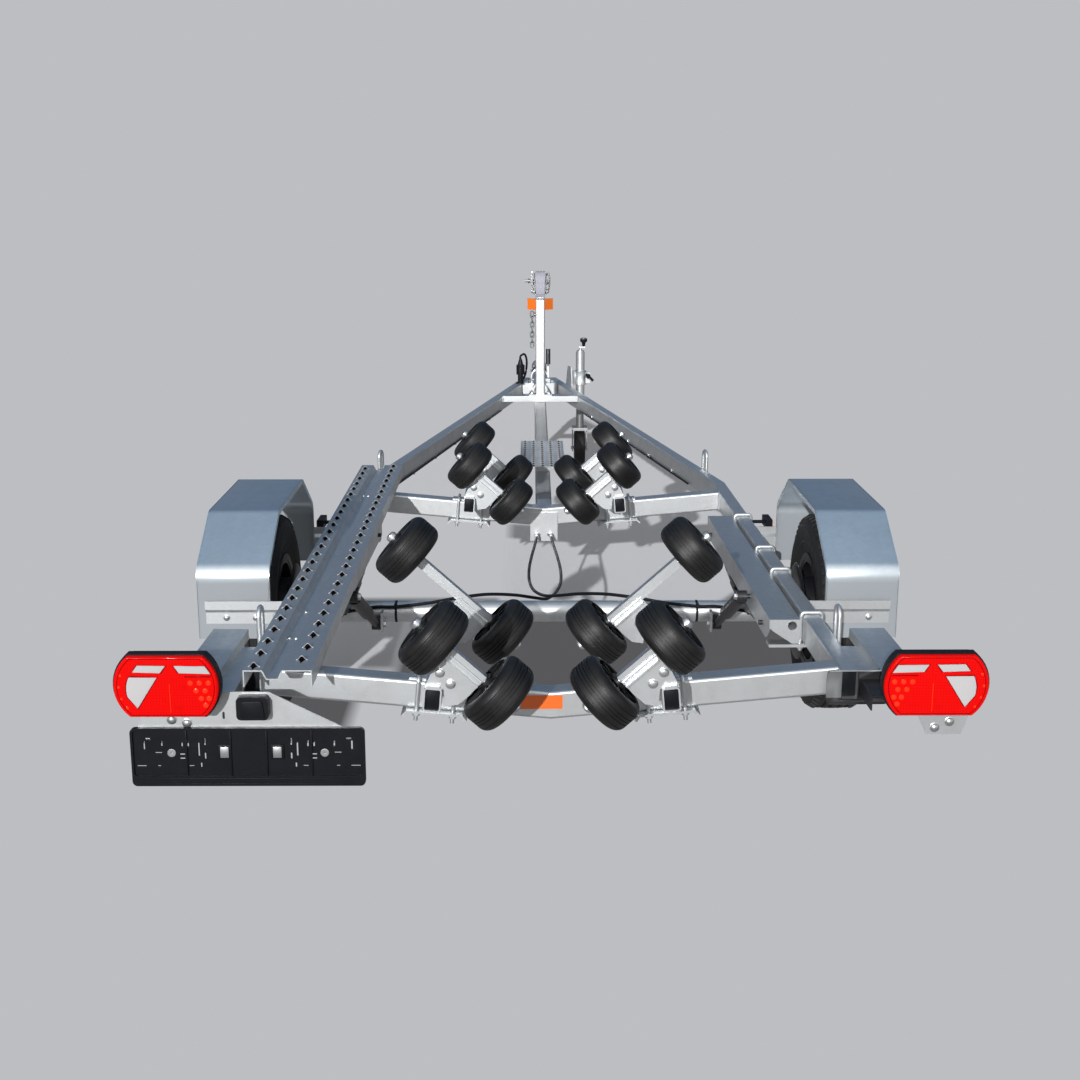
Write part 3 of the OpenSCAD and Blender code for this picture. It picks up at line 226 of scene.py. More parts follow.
def grime_group() -> bpy.types.NodeTree:
    """Blotchy dust and handling marks.

    Returns:
        The group, with output Mask.
    """
    graph, given, leave = new_group(GroupKind.GRIME, {"Scale": 14.0, "Amount": 0.5}, ("Mask",))
    noise = graph.add("ShaderNodeTexNoise", {"Vector": given["Vector"], "Scale": given["Scale"], "Detail": 9.0,
                                             "Roughness": 0.7})
    fine_scale = graph.math("MULTIPLY", given["Scale"], 9.0)
    fine = graph.add("ShaderNodeTexNoise", {"Vector": given["Vector"], "Scale": fine_scale, "Detail": 4.0})
    both = graph.math("MULTIPLY", graph.span(noise.outputs[0], 0.0, 1.0, 0.38, 0.72), fine.outputs[0])
    graph.feed(leave, {"Mask": graph.math("MULTIPLY", both, given["Amount"])})
    return graph.tree


def grain_group() -> bpy.types.NodeTree:
    """Fine pebbled grain of moulded plastic and rubber.

    Returns:
        The group, with output Height.
    """
    graph, given, leave = new_group(GroupKind.GRAIN, {"Scale": 900.0}, ("Height",))
    pebbles = graph.add("ShaderNodeTexVoronoi", {"Vector": given["Vector"], "Scale": given["Scale"]},
                        feature="SMOOTH_F1")
    broad = graph.add("ShaderNodeTexNoise", {"Vector": given["Vector"], "Scale": 60.0, "Detail": 5.0})
    total = graph.math("ADD", graph.math("MULTIPLY", pebbles.outputs["Distance"], 0.5), broad.outputs[0])
    graph.feed(leave, {"Height": total})
    return graph.tree


GROUPS: dict[GroupKind, bpy.types.NodeTree] = {
    GroupKind.SPANGLE: spangle_group(),
    GroupKind.GRIME: grime_group(),
    GroupKind.GRAIN: grain_group(),
}


# Finishes


@dataclass(frozen=True)
class Finish:
    """A procedural surface finish on Object coordinates."""

    name: str
    slot: Slot | None

    def dress(self, graph: Graph, place: Socket, shader: bpy.types.Node) -> None:
        """Links the finish's pattern to the shader; each kind of finish has its own."""
        raise NotImplementedError

    def material(self) -> bpy.types.Material:
        """The finish's material, made on first use.

        Returns:
            The material.
        """
        known = bpy.data.materials.get(self.name)
        if known:
            return known
        made = bpy.data.materials.new(self.name)
        graph = blank_graph(made)
        shader = graph.add("ShaderNodeBsdfPrincipled")
        graph.add("ShaderNodeOutputMaterial", {"Surface": shader.outputs[0]})
        self.dress(graph, graph.add("ShaderNodeTexCoord").outputs["Object"], shader)
        return made

    @staticmethod
    def use(graph: Graph, kind: GroupKind, place: Socket, **values: float) -> bpy.types.Node:
        """Places a shared group at some coordinates, with its number inputs set."""
        return graph.add("ShaderNodeGroup", {"Vector": place, **values}, node_tree=GROUPS[kind])

    @staticmethod
    def bump(graph: Graph, height: Socket, depth: float, shader: bpy.types.Node) -> None:
        """Feeds a height from 0 to 1, at a depth of relief, to the shader's normal."""
        node = graph.add("ShaderNodeBump", {"Height": height, "Strength": 1.0, "Distance": depth})
        graph.feed(shader, {"Normal": node.outputs[0]})


@dataclass(frozen=True)
class ZincFinish(Finish):
    """Hot-dip galvanised or bright zinc-plated steel."""

    dark: Colour = (0.53, 0.555, 0.57)
    light: Colour = (0.79, 0.80, 0.805)
    soil: Colour = (0.42, 0.42, 0.41)
    rough: Pair = (0.50, 0.33)
    metallic: float = 0.88
    cells: float = 90.0
    relief: float = 0.00025

    def dress(self, graph: Graph, place: Socket, shader: bpy.types.Node) -> None:
        """Crystals lighten the metal and vary its gloss.

        Args:
            graph: Graph of the material.
            place: Object coordinates.
            shader: The material's Principled BSDF.
        """
        skin = self.use(graph, GroupKind.SPANGLE, place, Cells=self.cells)
        soil = self.use(graph, GroupKind.GRIME, place, Scale=7.0, Amount=0.22)
        metal = graph.mix(skin.outputs["Tone"], self.dark, self.light)
        graph.feed(shader, {"Base Color": graph.mix(soil.outputs["Mask"], metal, self.soil),
                            "Roughness": graph.span(skin.outputs["Tone"], *self.rough), "Metallic": self.metallic})
        self.bump(graph, skin.outputs["Height"], self.relief, shader)


@dataclass(frozen=True)
class PaintAndShadeZincFinish(ZincFinish):
    """Galvanised steel toned inside a box of the frame, by default the right lamp arm's; some tones are paint or dull
    zinc, some painted shade.
    """

    low: Triple = (0.640, -2.960, 0.0)
    high: Triple = (0.815, -2.800, 0.4575)
    soft: float = 0.0002
    notch: Pair = (0.6805, 0.393)
    thin: float = 0.8
    paint_and_shade: Colour = (0.010, 0.010, 0.012)

    def dress(self, graph: Graph, place: Socket, shader: bpy.types.Node) -> None:
        """The box's sides mask the tone, which is paint on some parts and painted shade on others; it is thin on the
        notch beside the cross member.

        Args:
            graph: Graph of the material.
            place: Object coordinates.
            shader: The material's Principled BSDF.
        """
        super().dress(graph, place, shader)
        metal = shader.inputs["Base Color"].links[0].from_socket
        axes = graph.add("ShaderNodeSeparateXYZ", {0: place}).outputs
        mask: Socket | float = 1.0
        for axis, low, high in zip(axes, self.low, self.high):
            mask = graph.math("MULTIPLY", mask, graph.span(axis, 0.0, 1.0, low, low + self.soft))
            mask = graph.math("MULTIPLY", mask, graph.span(axis, 1.0, 0.0, high - self.soft, high))
        bare = graph.math("MULTIPLY", graph.math("LESS_THAN", axes[0], self.notch[0]),
                          graph.math("GREATER_THAN", axes[2], self.notch[1]))
        mask = graph.math("MULTIPLY", mask, graph.span(bare, 1.0, self.thin))
        graph.feed(shader, {"Base Color": graph.mix(mask, metal, self.paint_and_shade),
                            "Metallic": graph.span(mask, self.metallic, 0.0)})


@dataclass(frozen=True)
class MouldedFinish(Finish):
    """Moulded rubber or plastic, a little dusty."""

    base: Colour = (0.007, 0.007, 0.0075)
    dust: Colour = (0.060, 0.059, 0.058)
    rough: Pair = (0.42, 0.62)
    dust_amount: float = 0.35
    grain: float = 900.0
    relief: float = 0.0003
    gloss: float = 0.35

    def dress(self, graph: Graph, place: Socket, shader: bpy.types.Node) -> None:
        """Dust lightens and dulls the moulding.

        Args:
            graph: Graph of the material.
            place: Object coordinates.
            shader: The material's Principled BSDF.
        """
        soil = self.use(graph, GroupKind.GRIME, place, Scale=11.0, Amount=self.dust_amount)
        grain = self.use(graph, GroupKind.GRAIN, place, Scale=self.grain)
        graph.feed(shader, {"Base Color": graph.mix(soil.outputs["Mask"], self.base, self.dust),
                            "Roughness": graph.span(soil.outputs["Mask"], *self.rough, 0.0, 0.4),
                            "Specular IOR Level": self.gloss})
        self.bump(graph, grain.outputs["Height"], self.relief, shader)


@dataclass(frozen=True)
class PaintFinish(Finish):
    """Painted metal with an orange-peel skin and chips down to the primer."""

    base: Colour = (0.010, 0.010, 0.012)
    chip: Colour = (0.09, 0.09, 0.09)
    metallic: float = 0.0
    rough: Pair = (0.30, 0.50)

    def dress(self, graph: Graph, place: Socket, shader: bpy.types.Node) -> None:
        """Chips and handling marks break the paint.

        Args:
            graph: Graph of the material.
            place: Object coordinates.
            shader: The material's Principled BSDF.
        """
        soil = self.use(graph, GroupKind.GRIME, place, Scale=24.0, Amount=0.45)
        grain = self.use(graph, GroupKind.GRAIN, place, Scale=380.0)
        graph.feed(shader, {"Base Color": graph.mix(soil.outputs["Mask"], self.base, self.chip),
                            "Roughness": graph.span(soil.outputs["Mask"], *self.rough, 0.0, 0.4),
                            "Metallic": self.metallic})
        self.bump(graph, grain.outputs["Height"], 0.0002, shader)


@dataclass(frozen=True)
class LensFinish(Finish):
    """Clear moulded lens over a reflector: prisms show as a fine grid of tone."""

    base: Colour = (0.80, 0.004, 0.003)
    deep: Colour = (0.46, 0.002, 0.002)
    prism: float = 150.0
    cloud: float = 26.0
    glow: float = 0.16
    rough: Pair = (0.10, 0.30)
    gloss: float = 0.06
    coat: float = 0.04
    coat_rough: float = 0.06

    def dress(self, graph: Graph, place: Socket, shader: bpy.types.Node) -> None:
        """A prism grid varies the colour under a glossy coat.

        Args:
            graph: Graph of the material.
            place: Object coordinates.
            shader: The material's Principled BSDF.
        """
        grid = graph.add("ShaderNodeTexVoronoi", {"Vector": place, "Scale": self.prism, "Randomness": 0.0},
                         distance="CHEBYCHEV")
        soil = self.use(graph, GroupKind.GRIME, place, Scale=20.0, Amount=0.25)
        tone = graph.span(grid.outputs["Distance"], 0.0, 1.0, 0.1, 0.55)
        cloud = graph.add("ShaderNodeTexNoise", {"Vector": place, "Scale": self.cloud, "Detail": 2.0}).outputs[0]
        share = graph.math("MAXIMUM", graph.math("MULTIPLY", tone, 0.7), graph.span(cloud, 0.0, 0.6, 0.40, 0.75))
        colour = graph.mix(share, self.base, self.deep)
        graph.feed(shader, {"Base Color": colour, "Emission Color": colour, "Emission Strength": self.glow,
                            "Roughness": graph.span(soil.outputs["Mask"], *self.rough),
                            "Specular IOR Level": self.gloss, "Coat Weight": self.coat,
                            "Coat Roughness": self.coat_rough})
        self.bump(graph, tone, 0.0004, shader)


@dataclass(frozen=True)
class WovenFinish(Finish):
    """Woven polyester webbing."""

    base: Colour = (0.62, 0.62, 0.70)
    gap: Colour = (0.44, 0.44, 0.51)
    soil: Colour = (0.16, 0.15, 0.15)
    threads: float = 700.0
    rough: float = 0.85

    def dress(self, graph: Graph, place: Socket, shader: bpy.types.Node) -> None:
        """Two crossed waves make the weave.

        Args:
            graph: Graph of the material.
            place: Object coordinates.
            shader: The material's Principled BSDF.
        """
        along = graph.add("ShaderNodeTexWave", {"Vector": place, "Scale": self.threads}, bands_direction="X")
        across = graph.add("ShaderNodeTexWave", {"Vector": place, "Scale": 0.6 * self.threads}, bands_direction="Z")
        weave = graph.math("MULTIPLY", along.outputs["Fac"], across.outputs["Fac"])
        soil = self.use(graph, GroupKind.GRIME, place, Scale=30.0, Amount=0.4)
        cloth = graph.mix(weave, self.gap, self.base)
        graph.feed(shader, {"Base Color": graph.mix(soil.outputs["Mask"], cloth, self.soil), "Roughness": self.rough})
        self.bump(graph, weave, 0.0004, shader)


GALVANISED = ZincFinish("galvanised_steel_skin", Slot.GALVANISED)
# Painted shade: below the bends, under z 0.535, the guards turn a darker matt grey that stands in for the shade of
# their lower faces.
GUARD_ZINC = PaintAndShadeZincFinish("mudguard_skin_lower_shade", Slot.GALVANISED, dark=(0.60, 0.68, 0.74), light=(0.80, 0.88, 0.94),
                               rough=(0.40, 0.30), low=(-1.0, -2.6, 0.0), high=(1.0, -1.0, 0.535), soft=0.035,
                               thin=1.0, paint_and_shade=(0.30, 0.325, 0.345))
# Painted shade: the rims are black on their inner side, within |x| < 0.878, standing in for the shade inside the wheel
# arches.
RIM_SILVER_INNER_SHADE = PaintAndShadeZincFinish("rim_skin_inner_shade", Slot.WHEEL, dark=(0.46, 0.47, 0.49), light=(0.58, 0.59, 0.61),
                               relief=0.0001, low=(-0.878, -2.6, 0.0), high=(0.878, -1.0, 1.0), thin=1.0)
KEEL_ZINC = PaintAndShadeZincFinish("keel_skin", Slot.GALVANISED, low=(-0.2, -0.62, 0.0), high=(0.2, 3.0, 0.8), thin=1.0,
                              paint_and_shade=(0.33, 0.335, 0.345))
# Painted shade: black over the right lamp arm's lower flange and end plate, thinner on the notch, standing in for their
# shade.
ARM_SHADE = PaintAndShadeZincFinish("lamp_arm_shade_skin", Slot.GALVANISED)
# Bright zinc of the bolts and nuts; on the grips' lips it is a painted highlight.
BRIGHT_ZINC_AND_HIGHLIGHT = ZincFinish("bright_zinc_and_highlight_skin", Slot.ZINC, dark=(0.40, 0.41, 0.42), light=(0.64, 0.64, 0.64),
                         rough=(0.44, 0.30), cells=240.0, relief=0.0001)
# Darker steel for the chain, winch frame, crank and jockey leg; on the jockey leg the darkness is painted shade.
DARK_STEEL_AND_SHADE = ZincFinish("dark_steel_and_shade_skin", Slot.ZINC, dark=(0.16, 0.165, 0.17), light=(0.34, 0.34, 0.34),
                         rough=(0.52, 0.36), cells=240.0, relief=0.0001)
WHEEL_PAINT = PaintFinish("wheel_silver_paint", Slot.WHEEL, base=(0.50, 0.51, 0.53), chip=(0.30, 0.29, 0.28),
                          metallic=0.6, rough=(0.32, 0.55))
ROLLER_RUBBER = MouldedFinish("roller_rubber", Slot.RUBBER)
TYRE_RUBBER = MouldedFinish("tyre_rubber_skin", Slot.TYRE, base=(0.009, 0.009, 0.0095), dust=(0.07, 0.068, 0.066),
                            rough=(0.62, 0.82), dust_amount=0.55)
# Black paint; on the rims' inner rings and the sheet's slot it is painted shade.
BLACK_PAINT_AND_SHADE = PaintFinish("black_paint_and_shade", Slot.BLACK_STEEL)
BLACK_PLASTIC = MouldedFinish("black_plastic_skin", Slot.PLASTIC, base=(0.006, 0.0066, 0.0095), rough=(0.40, 0.56),
                              dust_amount=0.12, gloss=0.16)
HOLE_SHADE = MouldedFinish("hole_shade", Slot.PLASTIC, base=(0.002, 0.002, 0.003), dust_amount=0.02, gloss=0.02)
RED_LENS = LensFinish("red_lens_skin", Slot.RED)
ORANGE_MOULDING = MouldedFinish("orange_polyurethane", Slot.ORANGE, base=(0.93, 0.18, 0.006), dust=(0.72, 0.20, 0.03),
                                rough=(0.38, 0.55), dust_amount=0.3)
CLEAR_LENS = LensFinish("clear_lens", None, base=(0.66, 0.65, 0.65), deep=(0.36, 0.34, 0.34), glow=0.05)
DARK_LENS = LensFinish("dark_red_lens", Slot.RED, base=(0.30, 0.002, 0.003), deep=(0.18, 0.001, 0.002), glow=0.05)
DIODE_LENS = LensFinish("diode_lens", Slot.RED, base=(0.92, 0.045, 0.012), deep=(0.74, 0.020, 0.006), glow=0.20)
WEBBING = WovenFinish("grey_webbing", None)
ORANGE_FILM = PaintFinish("orange_film", None, base=(0.90, 0.150, 0.013), chip=(0.70, 0.14, 0.03), rough=(0.34, 0.5))
AMBER_LENS = LensFinish("amber_lens_skin", Slot.AMBER, base=(0.75, 0.30, 0.02), deep=(0.45, 0.14, 0.01), glow=0.1)

SLOT_FINISH: dict[str, Finish] = {
    finish.slot.value: finish
    for finish in (GALVANISED, BRIGHT_ZINC_AND_HIGHLIGHT, WHEEL_PAINT, ROLLER_RUBBER, TYRE_RUBBER, BLACK_PAINT_AND_SHADE, BLACK_PLASTIC,
                   RED_LENS, ORANGE_MOULDING, AMBER_LENS)
}


# Frame nodes


def dress_node(name: str, finish: Finish) -> bpy.types.Object:
    """Gives a node of the frame its finish.

    Args:
        name: The node.
        finish: Its finish.

    Returns:
        The node's object.
    """
    node = frame["nodes"][name]
    node.data.materials.clear()
    node.data.materials.append(finish.material())
    return node


@dataclass(frozen=True)
class NodeDresser:
    """Rounds the edges of the frame's own nodes and gives them their finishes."""

    # Finishes by node: darker or duller zinc, and painted shade on the jockey leg and on the rims' inner side.
    tones_and_shades: Mapping[str, Finish] = field(default_factory=lambda: {
        "bow_chain": DARK_STEEL_AND_SHADE, "jockey_leg": DARK_STEEL_AND_SHADE, "winch_frame": DARK_STEEL_AND_SHADE, "winch_crank": DARK_STEEL_AND_SHADE,
        "keel_beam": KEEL_ZINC, "rim_left": RIM_SILVER_INNER_SHADE, "rim_right": RIM_SILVER_INNER_SHADE})
    merge: float = 0.02 * MM
    flat_angle: float = math.radians(0.6)
    edge_angle: float = math.radians(32.0)
    edge: float = 0.9 * MM

    def round_edges(self, node: bpy.types.Object) -> None:
        """Adds the modifiers that weld, clean and round a node.

        Args:
            node: The frame's object.
        """
        node.modifiers.new("weld", "WELD").merge_threshold = self.merge
        flat = node.modifiers.new("flat", "DECIMATE")
        flat.decimate_type = "DISSOLVE"
        flat.angle_limit = self.flat_angle
        edge = node.modifiers.new("edge", "BEVEL")
        edge.width = self.edge
        edge.segments = 2
        edge.limit_method = "ANGLE"
        edge.angle_limit = self.edge_angle
        even = node.modifiers.new("even", "WEIGHTED_NORMAL")
        even.keep_sharp = False
        even.weight = 50

    def build(self) -> None:
        """Dresses every node by its material slot in the record."""
        for part in frame["record"]["subparts"]:
            name = part["node"]
            self.round_edges(dress_node(name, self.tones_and_shades.get(name, SLOT_FINISH[part["material_slot"]])))
        LOG.info("dressed %d frame nodes", len(frame["nodes"]))


# Lines of the trailer


JOINTS: dict[str, dict] = {joint["name"]: joint for joint in frame["joints"]}
MIRROR: dict[Side, Matrix] = {
    Side.RIGHT: Matrix.Identity(4),
    Side.LEFT: Matrix.Scale(-1.0, 4, Vector((1.0, 0.0, 0.0))),
}
REARWARD = Vector((0.0, -1.0, 0.0))
FORWARD = Vector((0.0, 1.0, 0.0))
UPWARD = Vector((0.0, 0.0, 1.0))
DOWNWARD = Vector((0.0, 0.0, -1.0))
OUTWARD = Vector((1.0, 0.0, 0.0))
INWARD = Vector((-1.0, 0.0, 0.0))
REAR_FACE = Matrix(((1, 0, 0, 0), (0, 0, -1, 0), (0, 1, 0, 0), (0, 0, 0, 1)))
SIDE_FACE = Matrix(((0, 0, 1, 0), (1, 0, 0, 0), (0, 1, 0, 0), (0, 0, 0, 1)))
ALONG_AXLE = Matrix.Rotation(math.pi / 2, 4, "Y")


def joint_point(name: str) -> Vector:
    """Place of a hinge in the frame."""
    return Vector(JOINTS[name]["pos_m"])


AXLE_Y = joint_point("wheel_right_spin").y


def ahead(distance: float, x: float = 0.0, z: float = 0.0) -> Vector:
    """A point given from the axle."""
    return Vector((x, AXLE_Y + distance, z))


def facing(point: Vector, direction: Vector) -> Matrix:
    """Place of a fitting whose foot is at a point and whose own +Z looks along a direction."""
    return Matrix.Translation(point) @ direction.to_track_quat("Z", "Y").to_matrix().to_4x4()


def on_rear(point: Vector) -> Matrix:
    """Place of a flat fitting, drawn in X and Y, on a face that looks rearward."""
    return Matrix.Translation(point) @ REAR_FACE


@dataclass(frozen=True)
class RailLine:
    """Centre line of the right rail: two straights that meet at a bend."""

    rear_x: float = 0.700
    bend_x: float = 0.660
    front_x: float = 0.074
    rear: float = -1.050
    bend: float = 1.150
    front: float = 4.150
    height: float = 0.075
    top: float = 0.460

    def angle(self, distance: float) -> float:
        """Turn of the rail about Z.

        Args:
            distance: Distance ahead of the axle.

        Returns:
            The angle.
        """
        if distance <= self.bend:
            return math.atan((self.rear_x - self.bend_x) / (self.bend - self.rear))
        return math.atan((self.bend_x - self.front_x) / (self.front - self.bend))

    def x(self, distance: float) -> float:
        """Distance of the rail from the trailer's centre line."""
        return self.bend_x + (self.bend - distance) * math.tan(self.angle(distance))

    def frame(self, distance: float) -> Matrix:
        """Frame of the rail at a distance ahead of the axle, Y along the rail and Z from the ground."""
        return Matrix.Translation(ahead(distance, self.x(distance))) @ Matrix.Rotation(self.angle(distance), 4, "Z")

    def seat(self, side: Side, distance: float, spot: Triple, way: Vector) -> Matrix:
        """Place of a fitting on a side's rail, with its spot and the way it looks in the rail's frame."""
        return MIRROR[side] @ self.frame(distance) @ facing(Vector(spot), way)


RAIL = RailLine()


# Shapes


SHARP = math.radians(30.0)
CREASE = math.radians(32.0)
BEAD_PITCH = 0.003
BEAD_RIPPLE = 0.16


def make_mesh(bm: bmesh.types.BMesh) -> bpy.types.Mesh:
    """Turns a bmesh into a mesh and frees it.

    Args:
        bm: The shape.

    Returns:
        The mesh.
    """
    bmesh.ops.recalc_face_normals(bm, faces=bm.faces)
    mesh = bpy.data.meshes.new("shape")
    bm.to_mesh(mesh)
    bm.free()
    return mesh


def soften(bm: bmesh.types.BMesh, width: float, steps: int = 2, above: float | None = None) -> None:
    """Bevels the sharp edges of a shape.

    Args:
        bm: The shape.
        width: Width of the bevel.
        steps: Its segments.
        above: Only edges that lie above this height, where it is given.
    """
    edges = [edge for edge in bm.edges if edge.is_manifold and edge.calc_face_angle(0.0) > SHARP
             and (above is None or min(vert.co.z for vert in edge.verts) > above)]
    bmesh.ops.bevel(bm, geom=edges, offset=width, affect="EDGES", segments=steps, profile=0.5, material=-1,
                    clamp_overlap=True)


def spun(profile: Sequence[Pair], steps: int) -> bmesh.types.BMesh:
    """Spins a profile once round Z.

    Args:
        profile: Radius and height of each point.
        steps: Number of steps of the spin.

    Returns:
        The shape.
    """
    bm = bmesh.new()
    verts = [bm.verts.new((radius, 0.0, height)) for radius, height in profile]
    edges = [bm.edges.new(pair) for pair in zip(verts, verts[1:])]
    bmesh.ops.spin(bm, geom=verts + edges, cent=(0, 0, 0), axis=(0, 0, 1), angle=2 * math.pi, steps=steps,
                   use_merge=True)
    bmesh.ops.remove_doubles(bm, verts=bm.verts, dist=1e-6)
    return bm


def slab(outline: Sequence[Pair], height: float, edge: float = 0.0, steps: int = 2) -> bmesh.types.BMesh:
    """Extrudes an outline along +Z and rounds its upper edge.

    Args:
        outline: Points in X and Y.
        height: Height of the slab.
        edge: Width of the rounding, 0 for none.
        steps: Segments of the rounding.

    Returns:
        The shape.
    """
    bm = bmesh.new()
    face = bm.faces.new([bm.verts.new((x, y, 0.0)) for x, y in outline])
    raised = bmesh.ops.extrude_face_region(bm, geom=[face])["geom"]
    bmesh.ops.translate(bm, vec=(0, 0, height), verts=[item for item in raised if isinstance(item, bmesh.types.BMVert)])
    bmesh.ops.recalc_face_normals(bm, faces=bm.faces)
    if edge:
        soften(bm, edge, steps, above=height / 2)
    return bm


def block(size: Triple, edge: float = 0.0, steps: int = 2) -> bmesh.types.BMesh:
    """A block on the XY plane, centred on Z, with rounded edges.

    Args:
        size: Extent along X, Y and Z.
        edge: Width of the rounding.
        steps: Segments of the rounding.

    Returns:
        The shape.
    """
    bm = bmesh.new()
    place = Matrix.Translation((0, 0, size[2] / 2)) @ Matrix.Diagonal((*size, 1.0))
    bmesh.ops.create_cube(bm, size=1.0, matrix=place)
    if edge:
        soften(bm, edge, steps)
    return bm


def rod(points: Sequence[Vector], radius: float, ripple: float = 0.0, sides: int = 3) -> bpy.types.Mesh:
    """A round rod along points, made as a curve and turned into a mesh.

    Args:
        points: Points that it runs through.
        radius: Radius of the rod.
        ripple: Share by which every other point is thinner.
        sides: Resolution of its section.

    Returns:
        The mesh.
    """
    curve = bpy.data.curves.new("rod", "CURVE")
    curve.dimensions = "3D"
    curve.bevel_depth = radius
    curve.bevel_resolution = sides
    curve.use_fill_caps = True
    line = curve.splines.new("POLY")
    line.points.add(len(points) - 1)
    for number, (point, target) in enumerate(zip(points, line.points)):
        target.co = (*point, 1.0)
        target.radius = 1.0 - ripple * (number % 2)
    holder = bpy.data.objects.new("rod", curve)
    mesh = bpy.data.meshes.new_from_object(holder)
    bpy.data.objects.remove(holder)
    bpy.data.curves.remove(curve)
    return mesh


def bead(start: Triple, way: Vector, points: int, radius: float) -> bpy.types.Mesh:
    """A rippled weld bead of so many points from a start."""
    return rod([Vector(start) + way * (step * BEAD_PITCH) for step in range(points)], radius, BEAD_RIPPLE)


def sheet(rows: Sequence[Sequence[Triple]]) -> bmesh.types.BMesh:
    """A sheet of four-sided faces through rows of points.

    Args:
        rows: The rows, all of one length.

    Returns:
        The shape.
    """
    bm = bmesh.new()
    grid = [[bm.verts.new(point) for point in row] for row in rows]
    for first, second in zip(grid, grid[1:]):
        for number in range(len(first) - 1):
            bm.faces.new((first[number], first[number + 1], second[number + 1], second[number]))
    return bm


def rounded(corners: Sequence[Corner], steps: int) -> list[Pair]:
    """An outline of quarter arcs, each given by its centre, radius and first angle in degrees."""
    return [point for centre, radius, start in corners for point in arc(centre, radius, start, start + 90, steps)]


def arc(centre: Pair, radius: float, start: float, end: float, steps: int) -> list[Pair]:
    """Points along an arc between two angles in degrees, both ends included."""
    angles = [math.radians(start + (end - start) * step / steps) for step in range(steps + 1)]
    return [(centre[0] + radius * math.cos(angle), centre[1] + radius * math.sin(angle)) for angle in angles]


class Piece:
    """A new piece in the making: shapes are stamped into it at their places."""

    def __init__(self, name: str, finish: Finish, body: str = CHASSIS) -> None:
        """Starts an empty piece.

        Args:
            name: Its name.
            finish: Its finish.
            body: The body that it rides on.
        """
        self.name = name
        self.finish = finish
        self.body = body
        self.bm = bmesh.new()

    def stamp(self, shape: bpy.types.Mesh, place: Matrix) -> None:
        """Adds a shape at a place.

        Args:
            shape: The mesh to add.
            place: Where it goes; a mirrored place is turned right side out.
        """
        known_verts, known_faces = len(self.bm.verts), len(self.bm.faces)
        self.bm.from_mesh(shape)
        self.bm.verts.ensure_lookup_table()
        self.bm.faces.ensure_lookup_table()
        bmesh.ops.transform(self.bm, matrix=place, verts=self.bm.verts[known_verts:])
        if place.determinant() < 0:
            bmesh.ops.reverse_faces(self.bm, faces=self.bm.faces[known_faces:])

    def done(self, replaced: Sequence[str] = ()) -> None:
        """Makes the object.

        Args:
            replaced: Frame nodes that the piece stands for.
        """
        mesh = bpy.data.meshes.new(self.name)
        self.bm.to_mesh(mesh)
        self.bm.free()
        mesh.polygons.foreach_set("use_smooth", [True] * len(mesh.polygons))
        mesh.set_sharp_from_angle(angle=CREASE)
        mesh.materials.append(self.finish.material())
        made = bpy.data.objects.new(self.name, mesh)
        bpy.context.scene.collection.objects.link(made)
        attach(made, self.body)
        if replaced:
            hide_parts(*replaced)
        LOG.info("%s: %d faces on %s", self.name, len(mesh.polygons), self.body)


@dataclass(frozen=True)
class Fasteners:
    """Zinc-plated bolts and nuts of one thread size; each stands on Z = 0 and looks along +Z."""

    thread: float

    def head(self) -> bpy.types.Mesh:
        """A hexagon head on its washer.

        Returns:
            The shape.
        """
        bm = self.washer_shape()
        self.add_hexagon(bm, 0.65 * self.thread)
        return make_mesh(bm)

    def nut(self) -> bpy.types.Mesh:
        """A nut on its washer, with the bolt's end showing.

        Returns:
            The shape.
        """
        bm = self.washer_shape()
        self.add_hexagon(bm, 0.8 * self.thread)
        radius, rise = self.thread / 2, 0.11 * self.thread
        start = 0.9 * self.thread
        ridges = [(radius * (1.0 if step % 2 else 0.86), start + step * rise) for step in range(6)]
        end = spun([(0.0, start - rise), (radius, start - rise), *ridges, (0.0, ridges[-1][1])], 14)
        self.join(bm, end)
        return make_mesh(bm)

    def dome(self) -> bpy.types.Mesh:
        """A round-headed bolt on its washer.

        Returns:
            The shape.
        """
        bm = self.washer_shape()
        cap = spun([(0.95 * self.thread, 0.2 * self.thread), (0.9 * self.thread, 0.38 * self.thread),
                    (0.62 * self.thread, 0.62 * self.thread), (0.0, 0.72 * self.thread)], 20)
        self.join(bm, cap)
        return make_mesh(bm)

    def washer_shape(self) -> bmesh.types.BMesh:
        """The washer under a head."""
        outer, thick = 1.12 * self.thread, 0.2 * self.thread
        return spun([(0.0, 0.0), (outer, 0.0), (outer, 0.8 * thick), (0.94 * outer, thick), (0.0, thick)], 24)

    def add_hexagon(self, bm: bmesh.types.BMesh, height: float) -> None:
        """Adds a chamfered hexagon to a shape.

        Args:
            bm: The shape.
            height: Height of the hexagon.
        """
        hexagon = slab(arc((0, 0), 0.95 * self.thread, 0, 300, 5), height, 0.09 * self.thread, 2)
        bmesh.ops.translate(hexagon, vec=(0, 0, 0.18 * self.thread), verts=hexagon.verts)
        self.join(bm, hexagon)

    @staticmethod
    def join(bm: bmesh.types.BMesh, other: bmesh.types.BMesh) -> None:
        """Moves a second shape into the first.

        Args:
            bm: The first shape.
            other: The second one, which is freed.
        """
        mesh = make_mesh(other)
        bm.from_mesh(mesh)
        bpy.data.meshes.remove(mesh)


M6 = Fasteners(0.006)
M8 = Fasteners(0.008)
M10 = Fasteners(0.010)
M12 = Fasteners(0.012)


# Sub-assemblies


